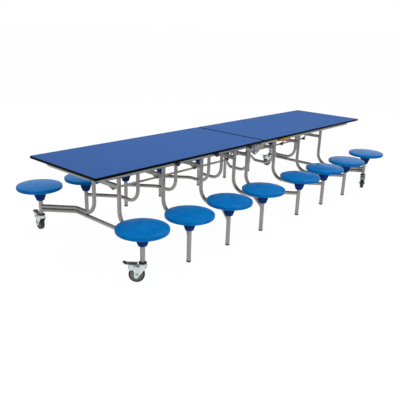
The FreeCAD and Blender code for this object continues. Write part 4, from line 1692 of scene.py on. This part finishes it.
@dataclass
class Studio:
    """White sweep, soft light and the camera, for a square picture."""

    image_side: float = 400.0
    focal_pixels: float = 507.779
    sensor: float = 36.0
    yaw: float = 47.802
    pitch: float = 18.717
    roll: float = 1.764
    eye: Point3 = (-3.4143, -2.7777, 1.5308)
    floor_size: float = 400.0
    floor_drop: float = 0.2 * MM
    floor_paper: LinearColour = (0.86, 0.86, 0.86, 1.0)
    floor_glow: float = 1.04
    floor_glow_share: float = 0.93
    fill: float = 0.36
    ceiling: float = 0.12
    wall_top: float = 0.3
    ceiling_start: float = 0.75
    lamps: tuple[Lamp, ...] = (Lamp("overhead", (0.5, 0.5, 5.0), size=5.0, power=175.0),
                               Lamp("front", (-3.5, -5.0, 3.2), size=3.5, power=98.0))

    def camera(self) -> None:
        """Set up the camera by its place and its three angles."""
        data = bpy.data.cameras.new("camera")
        data.sensor_width = self.sensor
        data.lens = self.focal_pixels / self.image_side * self.sensor
        data.clip_end = 1000.0
        camera = bpy.data.objects.new("camera", data)
        bpy.context.scene.collection.objects.link(camera)
        yaw, pitch, roll = (math.radians(a) for a in (self.yaw, self.pitch, self.roll))
        forward = Vector((math.sin(yaw) * math.cos(pitch), math.cos(yaw) * math.cos(pitch),
                          -math.sin(pitch)))
        right = Vector((math.cos(yaw), -math.sin(yaw), 0.0))
        up = right.cross(forward)
        right, up = (right * math.cos(roll) + up * math.sin(roll),
                     up * math.cos(roll) - right * math.sin(roll))
        turn = Matrix((right, up, -forward)).transposed()
        camera.matrix_world = Matrix.Translation(Vector(self.eye)) @ turn.to_4x4()
        bpy.context.scene.camera = camera

    def backdrop(self) -> None:
        """Lay a white floor that shows white to the camera and keeps a faint shadow."""
        deselect_all()
        bpy.ops.mesh.primitive_plane_add(size=self.floor_size, location=(0, 0, -self.floor_drop))
        recipe = Recipe("studio_floor")
        floor = name_piece("studio_floor", recipe.material)
        _, seen = recipe.rays()
        paper = recipe.add("ShaderNodeBsdfDiffuse", {}, {"Color": self.floor_paper})
        glow = recipe.add("ShaderNodeEmission", {}, {"Color": WHITE, "Strength": self.floor_glow})
        mixed = recipe.add("ShaderNodeMixShader", {}, {
            0: self.floor_glow_share * seen, 1: paper.outputs[0], 2: glow.outputs[0]})
        recipe.feed(recipe.output.inputs["Surface"], mixed.outputs[0])

    def world(self) -> None:
        """Light evenly from all round.

        The camera sees white all round, and reflections see white walls under a dark ceiling.
        """
        world = bpy.data.worlds.new("studio_world")
        bpy.context.scene.world = world
        world.use_nodes = True
        nodes = Nodes(world.node_tree)
        camera, seen = nodes.rays()
        direction = nodes.take("ShaderNodeTexCoord", {}, {}, "Generated")
        height = nodes.take("ShaderNodeSeparateXYZ", {}, {0: direction}, "Z")
        room = nodes.take("ShaderNodeMapRange", {}, {
            "Value": height, "From Min": self.wall_top, "From Max": self.ceiling_start,
            "To Min": 1.0, "To Max": self.ceiling})
        light, shown = (
            nodes.add("ShaderNodeBackground", {}, {"Color": WHITE, "Strength": strength})
            for strength in (self.fill, nodes.math("MAXIMUM", camera, room)))
        mixed = nodes.add("ShaderNodeMixShader", {}, {
            0: seen, 1: light.outputs[0], 2: shown.outputs[0]})
        nodes.add("ShaderNodeOutputWorld", {}, {"Surface": mixed.outputs[0]})

    def build(self) -> None:
        """Set up the whole studio."""
        self.camera()
        self.backdrop()
        self.world()
        for lamp in self.lamps:
            lamp.hang()
        bpy.context.scene.view_settings.view_transform = "Standard"
        log.info("studio: camera, floor, world and %d lamps", len(self.lamps))


def main() -> None:
    """Dress the table."""
    logging.basicConfig(level=logging.INFO, format="%(name)s: %(message)s")
    layout, finishes = Layout(), Finishes()
    for part in (TopAndRails(layout, finishes), LegFrame(layout, finishes), Feet(layout, finishes),
                 Stool(layout, finishes), Castor(layout, finishes), Studio()):
        part.build()
    deselect_all()


if __name__ == "__main__":
    main()
